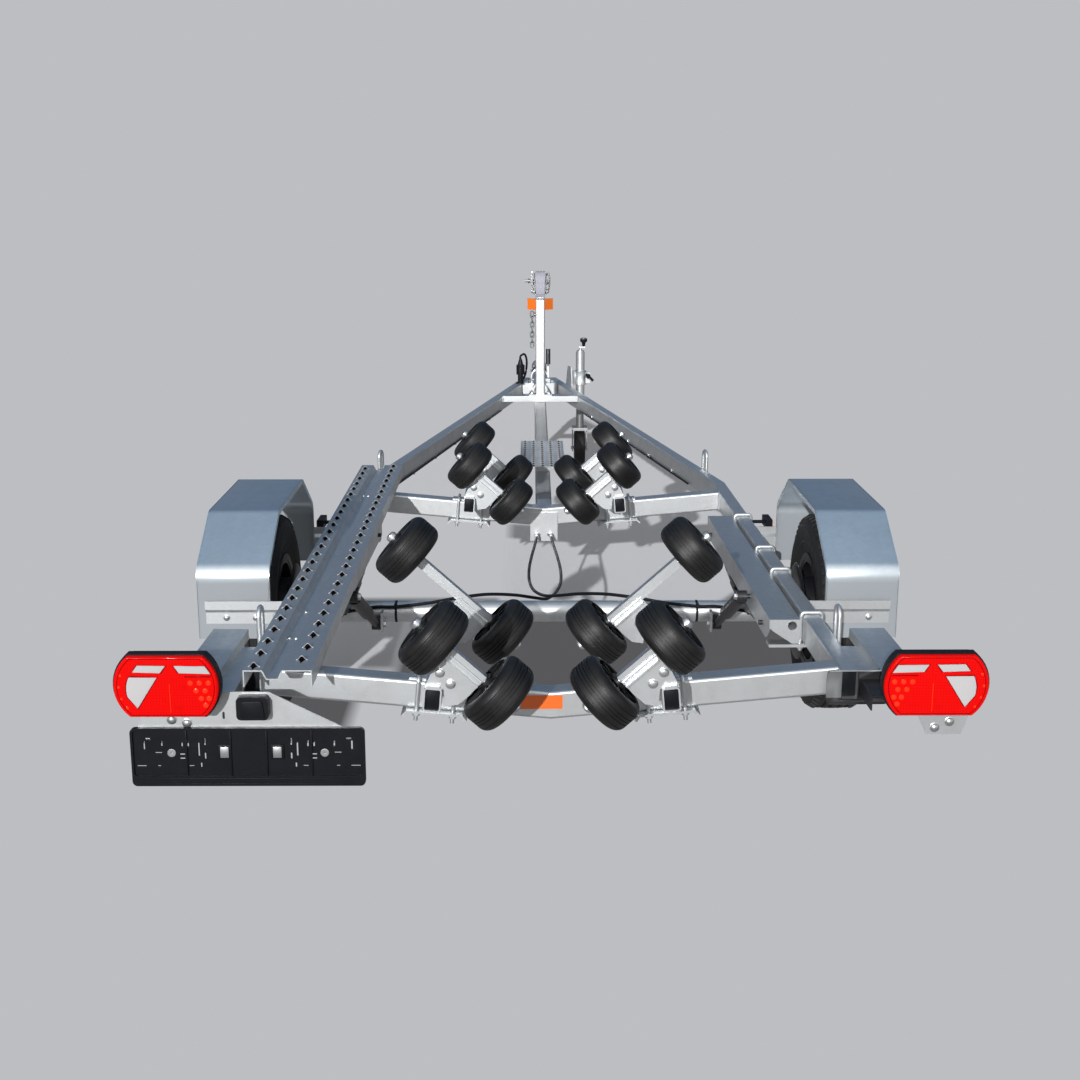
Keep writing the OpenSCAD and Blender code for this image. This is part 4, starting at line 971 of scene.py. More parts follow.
@dataclass(frozen=True)
class Cradles:
    """Bolts, welds and pin caps of the roller cradles."""

    bars: tuple[tuple[str, str], ...] = (("rr1", "rr2"), ("rr3", "rr4"), ("fr1", "fr2"), ("fr3", "fr4"))
    holes: tuple[Pair, ...] = ((0.097, -0.051), (0.132, -0.047))
    cap: tuple[Pair, ...] = ((0.0120, 0.0), (0.0114, 0.0025), (0.0085, 0.0045), (0.005, 0.0052), (0.0, 0.0050))
    plate_face: float = -0.0165
    ear_face: float = -0.0070
    pin_reach: float = 0.054
    weld_start: Triple = (0.050, -0.0135, -0.0035)
    weld_points: int = 31
    weld_radius: float = 0.0036

    def place(self, low_name: str, high_name: str) -> tuple[Matrix, float]:
        """Frame of a roller bar, X along it from its low roller.

        Args:
            low_name: Its low roller.
            high_name: Its high roller.

        Returns:
            The frame and the distance between the rollers.
        """
        low, high = (joint_point(f"roller_{name}_spin") for name in (low_name, high_name))
        along = (high - low).normalized()
        turn = Matrix((along, FORWARD, along.cross(FORWARD))).transposed().to_4x4()
        return Matrix.Translation(low) @ turn, (high - low).length

    def build(self) -> None:
        """Adds the fittings of all eight bars."""
        bolts = Piece("cradle_bolts", BRIGHT_ZINC_AND_HIGHLIGHT)
        caps = Piece("roller_pin_caps", BRIGHT_ZINC_AND_HIGHLIGHT)
        welds = Piece("cradle_welds", GALVANISED)
        head, nut, cap = M10.head(), M10.nut(), make_mesh(spun(self.cap, 24))
        weld = bead(self.weld_start, OUTWARD, self.weld_points, self.weld_radius)
        for names in self.bars:
            bar, length = self.place(*names)
            for side in Side:
                place = MIRROR[side] @ bar
                for x, z in self.holes:
                    bolts.stamp(head, place @ facing(Vector((x, self.plate_face, z)), REARWARD))
                    bolts.stamp(nut, place @ facing(Vector((x, self.ear_face, z)), FORWARD))
                caps.stamp(cap, place @ facing(Vector((-self.pin_reach, 0, 0)), INWARD))
                caps.stamp(cap, place @ facing(Vector((length + self.pin_reach, 0, 0)), OUTWARD))
                welds.stamp(weld, place)
        for piece in (bolts, caps, welds):
            piece.done()


@dataclass(frozen=True)
class RearLamps:
    """Moulded lenses of the rear lamps, drawn for the right one with X outward."""

    x: float = 0.855
    z: float = 0.482
    rear: float = -1.228
    depth: float = 0.0117
    half: Pair = (0.1165, 0.0705)
    end_radius: float = 0.0915
    rim_inset: float = 0.0085
    frame_width: float = 0.0030
    windows: tuple[tuple[Pair, ...], ...] = (
        ((-0.101, 0.031), (-0.031, 0.033), (-0.020, 0.050), (-0.089, 0.049)),
        ((0.011, 0.033), (0.072, 0.035), (0.060, 0.051), (-0.002, 0.050)),
    )
    diode: tuple[Pair, ...] = ((0.0062, 0.0), (0.0058, 0.0012), (0.0036, 0.0022), (0.0, 0.0026))
    leds: tuple[Pair, ...] = (
        (-0.095, 0.010), (-0.075, 0.010), (-0.055, 0.010), (-0.087, -0.008), (-0.067, -0.008),
        (-0.095, -0.026), (-0.078, -0.026), (-0.087, -0.042),
    )
    outer_leds: tuple[float, ...] = (-38, -20, 0, 20)
    outer_radius: float = 0.079
    outer_share: float = 0.7
    seam: Pair = (-0.009, -0.026)
    ledge: Pair = (-0.072, 0.0245)

    def outline(self) -> list[Pair]:
        """Outline of a lens: straight above and below, bulged at both ends.

        Returns:
            Its points.
        """
        bulge = math.degrees(math.asin(self.half[1] / self.end_radius))
        middle = self.half[0] - self.end_radius
        return [*arc((middle, 0), self.end_radius, -bulge, bulge, 18),
                *arc((-middle, 0), self.end_radius, 180 - bulge, 180 + bulge, 18)]

    def reflector(self) -> list[Pair]:
        """Outline of the outer reflector: a triangle with a bulged outer edge."""
        return [(0.018, 0.023), (0.064, -0.049), *arc((0.020, -0.006), 0.0670, -14.0, 26.0, 8)]

    @staticmethod
    def grown(outline: Sequence[Pair], by: float) -> list[Pair]:
        """An outline pushed out from its middle by a length."""
        middle = Vector([sum(values) / len(outline) for values in zip(*outline)])
        return [tuple(Vector(point) + (Vector(point) - middle).normalized() * by) for point in outline]

    def build(self) -> None:
        """Builds both lenses with their windows, reflectors, seams and diodes."""
        lens = Piece("lamp_lens_bodies", RED_LENS)
        clear = Piece("lamp_clear_windows", CLEAR_LENS)
        dark = Piece("lamp_dark_frames", DARK_LENS)
        bright = Piece("lamp_diodes", DIODE_LENS)
        body = make_mesh(slab(self.outline(), self.depth, 0.0055, 4))
        diode = make_mesh(spun(self.diode, 18))
        edge = self.grown(self.outline(), -self.rim_inset)
        rim = rod([Vector((*point, 0.0)) for point in (*edge, edge[0])], 0.0009, sides=1)
        seam = make_mesh(block((0.0016, 0.066, 0.0016), 0.0004))
        ledge = make_mesh(block((0.058, 0.0022, 0.0012), 0.0004))
        end = (self.half[0] - self.end_radius, 0)
        for side in Side:
            base = MIRROR[side] @ on_rear(ahead(self.rear + self.depth, self.x, self.z))
            face = base @ Matrix.Translation((0, 0, self.depth - 0.0001))
            lens.stamp(body, base)
            dark.stamp(rim, face)
            for pane in (*self.windows, self.reflector()):
                dark.stamp(make_mesh(slab(self.grown(pane, self.frame_width), 0.0008, 0.0003)), face)
                clear.stamp(make_mesh(slab(pane, 0.0017, 0.0006)), face)
            for x, y in self.leds:
                bright.stamp(diode, face @ Matrix.Translation((x, y, 0)))
            for angle in self.outer_leds:
                x, y = arc(end, self.outer_radius, angle, angle, 1)[0]
                bright.stamp(diode, face @ Matrix.Translation((x, y, -0.0012)) @ Matrix.Scale(self.outer_share, 4))
            bright.stamp(seam, face @ Matrix.Translation((*self.seam, 0)))
            dark.stamp(ledge, face @ Matrix.Translation((*self.ledge, 0)))
        lens.done(replaced=("lamp_lenses",))
        for piece in (clear, dark, bright):
            piece.done()


@dataclass(frozen=True)
class PlateHolder:
    """Ribs, clips and fixings of the number plate holder, and the lamp above it."""

    x: float = -0.690
    floor: float = -1.1750
    face: float = -1.1800
    tray_z: float = 0.306
    tray_h: float = 0.110
    lip_z: tuple[float, ...] = (0.2325, 0.2455)
    ribs: tuple[float, ...] = (-0.139, -0.039, 0.043, 0.145)
    clips: tuple[float, ...] = (-0.053, 0.067)
    clip_rise: float = 0.003
    fixings: tuple[float, ...] = (-0.174, 0.174)
    disc: tuple[Pair, ...] = ((0.0098, 0.0), (0.0098, 0.0026), (0.0086, 0.0034), (0.0030, 0.0034), (0.0022, 0.0028),
                              (0.0, 0.0028))
    lamp: Triple = (-0.673, -1.194, 0.418)
    cover: tuple[Corner, ...] = (((-0.022, -0.016), 0.006, 180), ((0.022, -0.016), 0.006, 270),
                                 ((0.017, 0.012), 0.007, 0), ((-0.017, 0.012), 0.007, 90))

    def build(self) -> None:
        """Builds the mouldings and the bright fixings."""
        black = Piece("plate_holder_mouldings", BLACK_PLASTIC)
        bright = Piece("plate_holder_fixings", BRIGHT_ZINC_AND_HIGHLIGHT)
        clear = Piece("plate_lamp_window", CLEAR_LENS)
        rib = make_mesh(block((0.0035, self.tray_h, 0.0040), 0.0008))
        clip = make_mesh(block((0.030, 0.036, 0.0042), 0.0012))
        plate = make_mesh(block((0.019, 0.026, 0.0012), 0.0005))
        disc = make_mesh(spun(self.disc, 24))
        ledge = make_mesh(block((0.470, 0.0025, 0.0016), 0.0005))
        for x in self.ribs:
            black.stamp(rib, on_rear(ahead(self.floor, self.x + x, self.tray_z)))
        for x in self.clips:
            place = on_rear(ahead(self.floor, self.x + x, self.tray_z + self.clip_rise))
            black.stamp(clip, place)
            bright.stamp(plate, place @ Matrix.Translation((0, 0, 0.0040)))
        for x in self.fixings:
            bright.stamp(disc, on_rear(ahead(self.floor + 0.002, self.x + x, self.tray_z)))
        for z in self.lip_z:
            black.stamp(ledge, on_rear(ahead(self.face, self.x, z)))
        x, distance, z = self.lamp
        black.stamp(make_mesh(slab(rounded(self.cover, 4), 0.004, 0.0014, 3)), on_rear(ahead(distance, x, z)))
        window = make_mesh(block((0.052, 0.016, 0.003), 0.001))
        clear.stamp(window, facing(ahead(distance + 0.013, x, z - 0.027), DOWNWARD))
        for piece in (black, bright, clear):
            piece.done()


@dataclass(frozen=True)
class RearBrackets:
    """Bolts of the lamp brackets, and black painted shade on the right rail's end plate."""

    sheet_face: float = -1.1677
    dome_bolts: tuple[Pair, ...] = ((-0.861, 0.384), (-0.827, 0.376), (0.872, 0.362), (0.905, 0.376))
    slot: Pair = (-0.743, 0.394)
    foot_bolts: tuple[float, ...] = (-1.020, -0.830)
    foot_spot: Triple = (0.0258, 0, 0.420)

    def build(self) -> None:
        """Adds the bolts and the sheet's slot, and puts black painted shade on the right rail's end plate."""
        bolts = Piece("lamp_bracket_bolts", BRIGHT_ZINC_AND_HIGHLIGHT)
        dome, head = M10.dome(), M10.head()
        for x, z in self.dome_bolts:
            bolts.stamp(dome, facing(ahead(self.sheet_face, x, z), REARWARD))
        for distance in self.foot_bolts:
            for side in Side:
                bolts.stamp(head, RAIL.seat(side, distance, self.foot_spot, OUTWARD))
        bolts.done()
        # Painted shade: black over the right lamp arm's lower flange and end plate.
        dress_node("lamp_arms", ARM_SHADE)
        # Painted shade: a black slab where the sheet's slot shows the dark behind it.
        black = Piece("sheet_slot_shade", BLACK_PAINT_AND_SHADE)
        outline = [*arc((0, 0.006), 0.0026, 0, 180, 6), *arc((0, -0.006), 0.0026, 180, 360, 6)]
        black.stamp(make_mesh(slab(outline, 0.0004)), on_rear(ahead(self.sheet_face, *self.slot)))
        black.done()


@dataclass(frozen=True)
class Grips:
    """Hoods of the punched grips on the walkway and the step.

    A grip's sizes are half the width of its mouth, its height, its reach and the length of its hole.
    """

    walk_grip: Quad = (0.0135, 0.0100, 0.022, 0.024)
    walk_rows: tuple[Pair, ...] = ((0.021, 0.036), (0.123, 0.083))
    walk_pitch: float = 0.094
    walk_bolts: tuple[Pair, ...] = ((-0.863, 0.058), (-0.863, 0.074), (0.810, 0.058), (0.810, 0.074), (-0.637, 0.066))
    groove: float = 0.020
    mouth_back: float = 0.009
    step_grip: Quad = (0.0095, 0.0075, 0.019, 0.003)
    step_holes: tuple[int, int] = (5, 13)
    step_size: Pair = (0.184, 0.560)
    step_ahead: float = 1.915
    step_slope: float = math.radians(0.838)

    @staticmethod
    def bell(half: float, high: float) -> list[Pair]:
        """Arched line of a mouth in X and Z: low wings and a raised middle."""
        return [(x, high * math.exp(-(1.9 * x / half) ** 2)) for x in (half * (step / 8 - 1) for step in range(17))]

    def hood(self, half: float, reach: float, high: float) -> bpy.types.Mesh:
        """A hood pressed up over a hole, its mouth towards -Y."""
        return make_mesh(sheet([[(x * (1 - 0.25 * share), reach * share, z * math.cos(share * math.pi / 2))
                                 for x, z in self.bell(half, high)] for share in (step / 5 for step in range(6))]))

    def mouth(self, half: float, high: float, hole: float) -> bpy.types.Mesh:
        """Painted shade: a dark slab in the mouth of a hood and over the hole before it.

        Args:
            half: Half the width of the mouth.
            high: Its height.
            hole: Length of the hole.

        Returns:
            The shape, its mouth upright in X and Z.
        """
        bm = slab(self.bell(half, high), 0.0004)
        bmesh.ops.transform(bm, matrix=REAR_FACE, verts=bm.verts)
        Fasteners.join(bm, slab([(-0.44 * half, 0.0), (0.0, -hole), (0.44 * half, 0.0)], 0.0009))
        return make_mesh(bm)

    def build(self) -> None:
        """Presses every grip and bolts the walkway down."""
        hoods = Piece("grip_hoods", GALVANISED)
        # Painted highlight: a bright zinc rod along the lip of each mouth.
        rim_highlights = Piece("grip_rim_highlights", BRIGHT_ZINC_AND_HIGHLIGHT)
        # Painted shade: a near-black slab in each mouth and over its hole.
        mouth_shades = Piece("grip_mouth_shades", HOLE_SHADE)
        for (half, high, reach, hole), places in ((self.walk_grip, self.walk_places()),
                                                  (self.step_grip, self.step_places())):
            hood, mouth = self.hood(half, reach, high), self.mouth(half, 0.8 * high, hole)
            # The bright rod along the mouth's lip is a painted highlight.
            rim = rod([Vector((x, 0.0, z)) for x, z in self.bell(half, high)], 0.0011, sides=1)
            for place in places:
                hoods.stamp(hood, place)
                rim_highlights.stamp(rim, place)
                mouth_shades.stamp(mouth, place)
        low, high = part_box("walkway")
        bolts = Piece("walkway_bolts", BRIGHT_ZINC_AND_HIGHLIGHT)
        dome = M6.dome()
        for distance, x in self.walk_bolts:
            bolts.stamp(dome, Matrix.Translation(ahead(distance, low.x + x, high.z - self.groove)))
        for piece in (hoods, rim_highlights, mouth_shades, bolts):
            piece.done()

    def walk_places(self) -> list[Matrix]:
        """Places of the walkway's grips.

        Returns:
            One place for each grip.
        """
        low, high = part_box("walkway")
        return [Matrix.Translation((low.x + x, low.y + start + number * self.walk_pitch - self.mouth_back, high.z))
                for x, start in self.walk_rows
                for number in range(int((high.y - low.y - 0.02 - start) / self.walk_pitch) + 1)]

    def step_places(self) -> list[Matrix]:
        """Places of the step's grips.

        Returns:
            One place for each grip.
        """
        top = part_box("step_plate")[1].z - math.sin(self.step_slope) * self.step_size[1] / 2
        middle = Matrix.Translation(ahead(self.step_ahead, 0, top)) @ Matrix.Rotation(self.step_slope, 4, "X")
        columns, rows = self.step_holes
        return [middle @ Matrix.Translation((self.step_size[0] * ((column + 0.5) / columns - 0.5),
                                             self.step_size[1] * ((row + 0.5) / rows - 0.5) - self.mouth_back, 0))
                for column in range(columns) for row in range(rows)]


@dataclass(frozen=True)
class Wheels:
    """Road tyres with a cut tread, bolts, caps and valves, and a black ring of painted shade inside each rim."""

    radius: float = 0.295
    wall: tuple[Pair, ...] = (
        (0.1655, 0.062), (0.178, 0.0665), (0.196, 0.0735), (0.206, 0.0752), (0.208, 0.0770), (0.211, 0.0770),
        (0.213, 0.0760), (0.232, 0.0800), (0.246, 0.081), (0.258, 0.0800), (0.260, 0.0785), (0.272, 0.0750),
        (0.284, 0.0665), (0.2905, 0.0560),
    )
    grooves: tuple[float, ...] = (-0.036, -0.013, 0.013, 0.036)
    groove_w: float = 0.0075
    groove_d: float = 0.0065
    crown: float = 0.9
    lugs: int = 60
    lug_spot: Pair = (0.0575, 0.2795)
    lug_tilt: float = math.radians(31)
    bolts: int = 5
    bolt_circle: float = 0.056
    disc_face: float = 0.026
    hub_face: float = 0.054
    rim_half: float = 0.067
    cap: tuple[Pair, ...] = ((0.0325, 0.0), (0.0325, 0.004), (0.029, 0.006), (0.029, 0.016), (0.025, 0.022),
                             (0.012, 0.0255), (0.0, 0.026))
    valve: tuple[Pair, ...] = ((0.0055, 0.0), (0.0055, 0.014), (0.004, 0.016), (0.004, 0.027), (0.0032, 0.029),
                               (0.0, 0.029))
    valve_z: float = 0.146
    # Profile of a black ring on the rim's inner side, painted shade inside the wheel arch.
    trim: tuple[Pair, ...] = ((0.1485, 0.0), (0.1740, 0.0), (0.1745, 0.0008), (0.1720, 0.0018), (0.1500, 0.0012),
                              (0.1485, 0.0))

    def section(self) -> list[Pair]:
        """Half-open section of the tyre.

        Returns:
            Radius and distance along the axle of each point.
        """
        tread = []
        for middle in self.grooves:
            near, far = middle - self.groove_w / 2, middle + self.groove_w / 2
            crown = self.radius - self.crown * middle * middle
            tread += [(crown, near - 0.001), (crown - 0.001, near), (crown - self.groove_d, near + 0.001),
                      (crown - self.groove_d, far - 0.001), (crown - 0.001, far), (crown, far + 0.001)]
        return [*((r, -x) for r, x in self.wall), *tread, *reversed(self.wall)]

    def lug(self) -> bpy.types.Mesh:
        """One shoulder lug of the tread.

        Returns:
            The shape, its top towards +Z and its outer end towards +X.
        """
        bm = block((0.022, 0.0175, 0.012), 0.0012)
        bmesh.ops.rotate(bm, cent=(0, 0, 0), matrix=Matrix.Rotation(self.lug_tilt, 3, "Y"), verts=bm.verts)
        return make_mesh(bm)

    def build(self) -> None:
        """Builds the tyres and fittings of both wheels."""
        tyre, lug, head = make_mesh(spun(self.section(), 96)), self.lug(), M12.head()
        cap, valve, trim = (make_mesh(spun(profile, steps))
                            for profile, steps in ((self.cap, 32), (self.valve, 14), (self.trim, 64)))
        reach, rise = self.lug_spot
        for side in Side:
            name = side.name.lower()
            body = f"wheel_{name}"
            place = MIRROR[side] @ Matrix.Translation(joint_point("wheel_right_spin"))
            rubber = Piece(f"tyre_tread_{name}", TYRE_RUBBER, body)
            rubber.stamp(tyre, place @ ALONG_AXLE)
            for number in range(self.lugs):
                turn = Matrix.Rotation(2 * math.pi * number / self.lugs, 4, "X")
                for end in (1, -1):
                    flip = Matrix.Identity(4) if end > 0 else Matrix.Rotation(math.pi, 4, "Z")
                    stagger = Matrix.Rotation(math.pi / self.lugs * (end < 0), 4, "X")
                    rubber.stamp(lug, place @ turn @ stagger @ Matrix.Translation((end * reach, 0, rise)) @ flip)
            rubber.stamp(valve, place @ facing(Vector((self.disc_face - 0.002, 0, self.valve_z)), OUTWARD))
            rubber.done(replaced=(f"tyre_{name}",))
            # Painted shade: a black ring on the rim's inner side, inside the wheel arch.
            inner = Piece(f"rim_inner_shade_{name}", BLACK_PAINT_AND_SHADE, body)
            inner.stamp(trim, place @ facing(Vector((-self.rim_half - 0.0004, 0, 0)), INWARD))
            inner.done()
            bright = Piece(f"wheel_bolts_{name}", BRIGHT_ZINC_AND_HIGHLIGHT, body)
            for number in range(self.bolts):
                turn = Matrix.Rotation(2 * math.pi * number / self.bolts, 4, "X")
                bright.stamp(head, place @ turn @ facing(Vector((self.disc_face, 0, self.bolt_circle)), OUTWARD))
            bright.stamp(cap, place @ facing(Vector((self.hub_face, 0, 0)), OUTWARD))
            bright.done()


@dataclass(frozen=True)
class Mudguards:
    """Folded mudguards with rounded bends, and the dust shields behind the wheels."""

    inner: float = 0.760
    outer: float = 0.960
    sheet: float = 0.003
    lip: float = 0.014
    lip_inset: float = 0.0004
    edge: float = 0.0026
    bend: float = 0.050
    bend_steps: int = 8
    line: tuple[Pair, ...] = ((-0.430, 0.344), (-0.430, 0.538), (-0.228, 0.660), (0.228, 0.660), (0.430, 0.538),
                              (0.430, 0.344))
    shield_x: float = 0.757
    shield: tuple[Pair, ...] = (
        (0.040, 0.0), (0.090, 0.0), (0.100, 0.003), (0.135, 0.003), (0.143, 0.0), (0.147, -0.003), (0.147, -0.0045),
        (0.143, -0.002), (0.135, 0.001), (0.100, 0.001), (0.090, -0.002), (0.040, -0.002), (0.040, 0.0),
    )

    def profile(self, depth: float) -> list[Vector]:
        """The guard's line, moved in by a depth, with its bends rounded.

        Args:
            depth: How far it is moved in.

        Returns:
            Points along it, in Y ahead of the axle and Z.
        """
        ends = [Vector(point) for point in self.line]
        run = [ends[0] + Vector((depth, 0))]
        for before, corner, after in zip(ends, ends[1:], ends[2:]):
            into, out = (corner - before).normalized(), (after - corner).normalized()
            turn = into.angle(out)
            trim = self.bend * math.tan(turn / 2)
            centre = corner - into * trim + Vector((into.y, -into.x)) * self.bend
            for step in range(self.bend_steps + 1):
                angle = turn * step / self.bend_steps
                normal = Vector((-into.y, into.x)) * math.cos(angle) + into * math.sin(angle)
                run.append(centre + normal * (self.bend - depth))
        run.append(ends[-1] - Vector((depth, 0)))
        return run

    def strip(self, depth: float, width: float, edge: float = 0.0) -> bpy.types.Mesh:
        """A band along the guard's line.

        Args:
            depth: Its thickness across the line.
            width: Its width along X.
            edge: Rounding of its outer side edges, 0 for none.

        Returns:
            The shape, from X = 0.
        """
        line = self.profile(0.0)
        bm = slab([(point.x, point.y) for point in (*line, *reversed(self.profile(depth)))], width)
        if edge:
            outer = {vert for vert in bm.verts if any((vert.co.xy - point).length < 1e-5 for point in line)}
            rim = [item for item in bm.edges
                   if outer.issuperset(item.verts) and abs(item.verts[0].co.z - item.verts[1].co.z) < 1e-7]
            bmesh.ops.bevel(bm, geom=rim, offset=edge, affect="EDGES", segments=3, profile=0.5, material=-1,
                            clamp_overlap=True)
        bmesh.ops.transform(bm, matrix=SIDE_FACE, verts=bm.verts)
        return make_mesh(bm)

    def build(self) -> None:
        """Builds both guards and shields."""
        # The guards' finish turns darker below the bends: painted shade.
        guards = Piece("folded_mudguards", GUARD_ZINC)
        shields = Piece("dust_shields", BLACK_PAINT_AND_SHADE)
        skin = self.strip(self.sheet, self.outer - self.inner, self.edge)
        lip = self.strip(self.lip, self.sheet)
        shield = make_mesh(spun(self.shield, 48))
        hub = joint_point("wheel_right_spin")
        for side in Side:
            for mesh, x in ((skin, self.inner), (lip, self.inner + self.lip_inset),
                            (lip, self.outer - self.sheet - self.lip_inset)):
                guards.stamp(mesh, MIRROR[side] @ Matrix.Translation(ahead(0.0, x)))
            shields.stamp(shield, MIRROR[side] @ facing(Vector((self.shield_x, hub.y, hub.z)), INWARD))
        guards.done(replaced=("mudguards",))
        shields.done()


@dataclass(frozen=True)
class TubeEnds:
    """Black plugs in the open ends of the rails and the cradle tubes."""

    rail_plug: Triple = (0.0370, 0.0670, 0.006)
    cradle_plug: Triple = (0.0325, 0.0475, 0.006)
    cradle_centre: Pair = (0.2650, 0.4549)
    cradle_tilt: float = math.radians(-5.23)
    cradle_ends: tuple[Pair, ...] = ((-1.240, -0.730), (0.770, 1.280))
    sunk: float = 0.012

    def build(self) -> None:
        """Fits every plug."""
        plugs = Piece("tube_plugs", BLACK_PLASTIC)
        large = make_mesh(block(self.rail_plug, 0.002))
        small = make_mesh(block(self.cradle_plug, 0.002))
        rail = RAIL.frame(RAIL.rear) @ Matrix.Translation((0, 2 * self.sunk, RAIL.top - RAIL.height / 2)) @ REAR_FACE
        for side in Side:
            plugs.stamp(large, MIRROR[side] @ rail)
            for rear, front in self.cradle_ends:
                for distance, turn in ((rear + self.sunk, 0.0), (front - self.sunk, math.pi)):
                    place = Matrix.Translation(ahead(distance, *self.cradle_centre)) @ Matrix.Rotation(turn, 4, "Z")
                    tilt = Matrix.Rotation(self.cradle_tilt * (1 if turn == 0 else -1), 4, "Y")
                    plugs.stamp(small, MIRROR[side] @ place @ tilt @ REAR_FACE)
        plugs.done()


@dataclass(frozen=True)
class Winch:
    """Webbing on the drum, its tail to the post, and the ratchet lever, all from the drum's axis."""

    half_width: float = 0.0245
    core: float = 0.047
    roll: float = 0.0555
    layers: int = 6
    strap: float = 0.003
    tail: tuple[Pair, ...] = ((-0.0575, 0.0), (-0.0577, -0.030), (-0.0535, -0.050), (-0.044, -0.066), (-0.0300, -0.080))
    tail_lines: tuple[float, ...] = (-0.0225, -0.010, 0.010, 0.0225)
    lever: tuple[Triple, ...] = (
        (0.034, -0.006, -0.044), (0.044, -0.010, -0.040), (0.048, -0.016, -0.010), (0.048, -0.022, 0.022),
        (0.043, -0.026, 0.046), (0.037, -0.024, 0.049), (0.035, -0.016, 0.034),
    )
    nuts: tuple[Triple, ...] = ((0.032, -0.035, -0.048), (0.032, 0.058, -0.048), (0.032, 0.085, -0.012))
    clamp: Triple = (0, -0.0290, -0.081)
    clamp_bolt: Pair = (0.014, 0.0038)

    def build(self) -> None:
        """Winds the webbing and adds the fittings."""
        axis = Matrix.Translation(joint_point("winch_drum_turn"))
        step = (self.roll - self.core) / self.layers
        edge = []
        for number in range(self.layers):
            radius = self.core + number * step
            edge += [(radius, self.half_width), (radius + 0.7 * step, self.half_width), (radius + 0.8 * step, 0.0235)]
        rim = [(self.roll, 0.0225), (self.roll - 0.0006, 0.012), (self.roll, 0.0), (self.roll - 0.0006, -0.012),
               (self.roll, -0.0225)]
        wound = Piece("winch_webbing", WEBBING, "winch_drum")
        wound.stamp(make_mesh(spun([*edge, *rim, *((r, -x) for r, x in reversed(edge))], 72)), axis @ ALONG_AXLE)
        wound.done()
        tail = Piece("winch_strap_tail", WEBBING)
        bm = sheet([[(x, y, z) for x in self.tail_lines] for y, z in self.tail])
        bmesh.ops.recalc_face_normals(bm, faces=bm.faces)
        bmesh.ops.solidify(bm, geom=bm.faces, thickness=self.strap)
        tail.stamp(make_mesh(bm), axis)
        tail.done()
        metal = Piece("winch_fittings", BRIGHT_ZINC_AND_HIGHLIGHT)
        metal.stamp(rod([Vector(point) for point in self.lever], 0.0038), axis)
        nut, dome = M10.nut(), M6.dome()
        for spot in self.nuts:
            for side in Side:
                metal.stamp(nut, MIRROR[side] @ axis @ facing(Vector(spot), OUTWARD))
        place = axis @ facing(Vector(self.clamp), REARWARD)
        metal.stamp(make_mesh(block((0.040, 0.010, 0.004), 0.0012)), place)
        for side in Side:
            metal.stamp(dome, place @ Matrix.Translation((side.value * self.clamp_bolt[0], 0, self.clamp_bolt[1])))
        metal.done()


@dataclass(frozen=True)
class Drawbar:
    """Bolts, welds and clips along the rails, the winch crossbar and the overrun device."""

    overrun: tuple[float, ...] = (3.917, 4.097)
    overrun_spots: tuple[Triple, ...] = ((0.0225, 0, 0.4085), (0.0225, 0, 0.4365))
    eyes: tuple[float, ...] = (-0.750, 1.430)
    eye_spots: tuple[Triple, ...] = ((0.0288, -0.034, 0.414), (0.0288, 0.034, 0.414))
    bar_ahead: float = 3.440
    bar_edges: tuple[float, ...] = (-0.0355, 0.0355)
    post_nuts: tuple[Pair, ...] = ((0.045, -0.026), (0.045, 0.026))
    post_foot: float = 0.008
    crosses: tuple[float, ...] = (-1.000, 1.010)
    cross_edges: tuple[float, ...] = (-0.0305, 0.0305)
    clips: tuple[float, ...] = (1.70, 2.05, 2.40, 2.75, 3.10)
    clip_spot: Triple = (-0.0225, 0, 0.394)
    wire_spot: Triple = (-0.0280, 0, 0.394)
    shock_pins: tuple[Triple, ...] = ((0.535, -0.300, 0.426), (0.491, -0.046, 0.268))

    def build(self) -> None:
        """Adds the fittings."""
        bolts = Piece("frame_bolts", BRIGHT_ZINC_AND_HIGHLIGHT)
        head, nut, small = M10.head(), M10.nut(), M8.head()
        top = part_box("winch_post")[0].z + self.post_foot
        for side in Side:
            for shape, distances, spots in ((head, self.overrun, self.overrun_spots),
                                            (small, self.eyes, self.eye_spots)):
                for distance in distances:
                    for spot in spots:
                        bolts.stamp(shape, RAIL.seat(side, distance, spot, OUTWARD))
            for x, y in self.post_nuts:
                bolts.stamp(nut, MIRROR[side] @ facing(ahead(self.bar_ahead + y, x, top), UPWARD))
            for x, distance, z in self.shock_pins:
                bolts.stamp(head, MIRROR[side] @ facing(ahead(distance, x, z), INWARD))
        bolts.done()
        self.welds()
        self.wiring()

    def welds(self) -> None:
        """Lays beads where the cross members and the winch crossbar meet the rails."""
        beads = Piece("frame_welds", GALVANISED)
        upright = bead((-0.0235, 0, 0.395), UPWARD, 21, 0.0042)
        short = bead((-0.0245, 0, 0.434), UPWARD, 8, 0.0038)
        for side in Side:
            for distance in self.crosses:
                for edge in self.cross_edges:
                    beads.stamp(upright, MIRROR[side] @ RAIL.frame(distance + edge))
            for edge in self.bar_edges:
                beads.stamp(short, MIRROR[side] @ RAIL.frame(self.bar_ahead + edge))
        beads.done()

    def wiring(self) -> None:
        """Adds the wiring along the V rails' inner faces and the clips that hold it."""
        clips = Piece("cable_clips", BRIGHT_ZINC_AND_HIGHLIGHT)
        wires = Piece("rail_wiring", BLACK_PLASTIC)
        clip = make_mesh(block((0.016, 0.022, 0.0035), 0.0010))
        for side in Side:
            for distance in self.clips:
                clips.stamp(clip, RAIL.seat(side, distance, self.clip_spot, INWARD))
            line = [MIRROR[side] @ RAIL.frame(1.45 + step * 0.1) @ Vector(self.wire_spot) for step in range(20)]
            wires.stamp(rod(line, 0.0038, sides=2), Matrix.Identity(4))
        clips.done()
        wires.done()


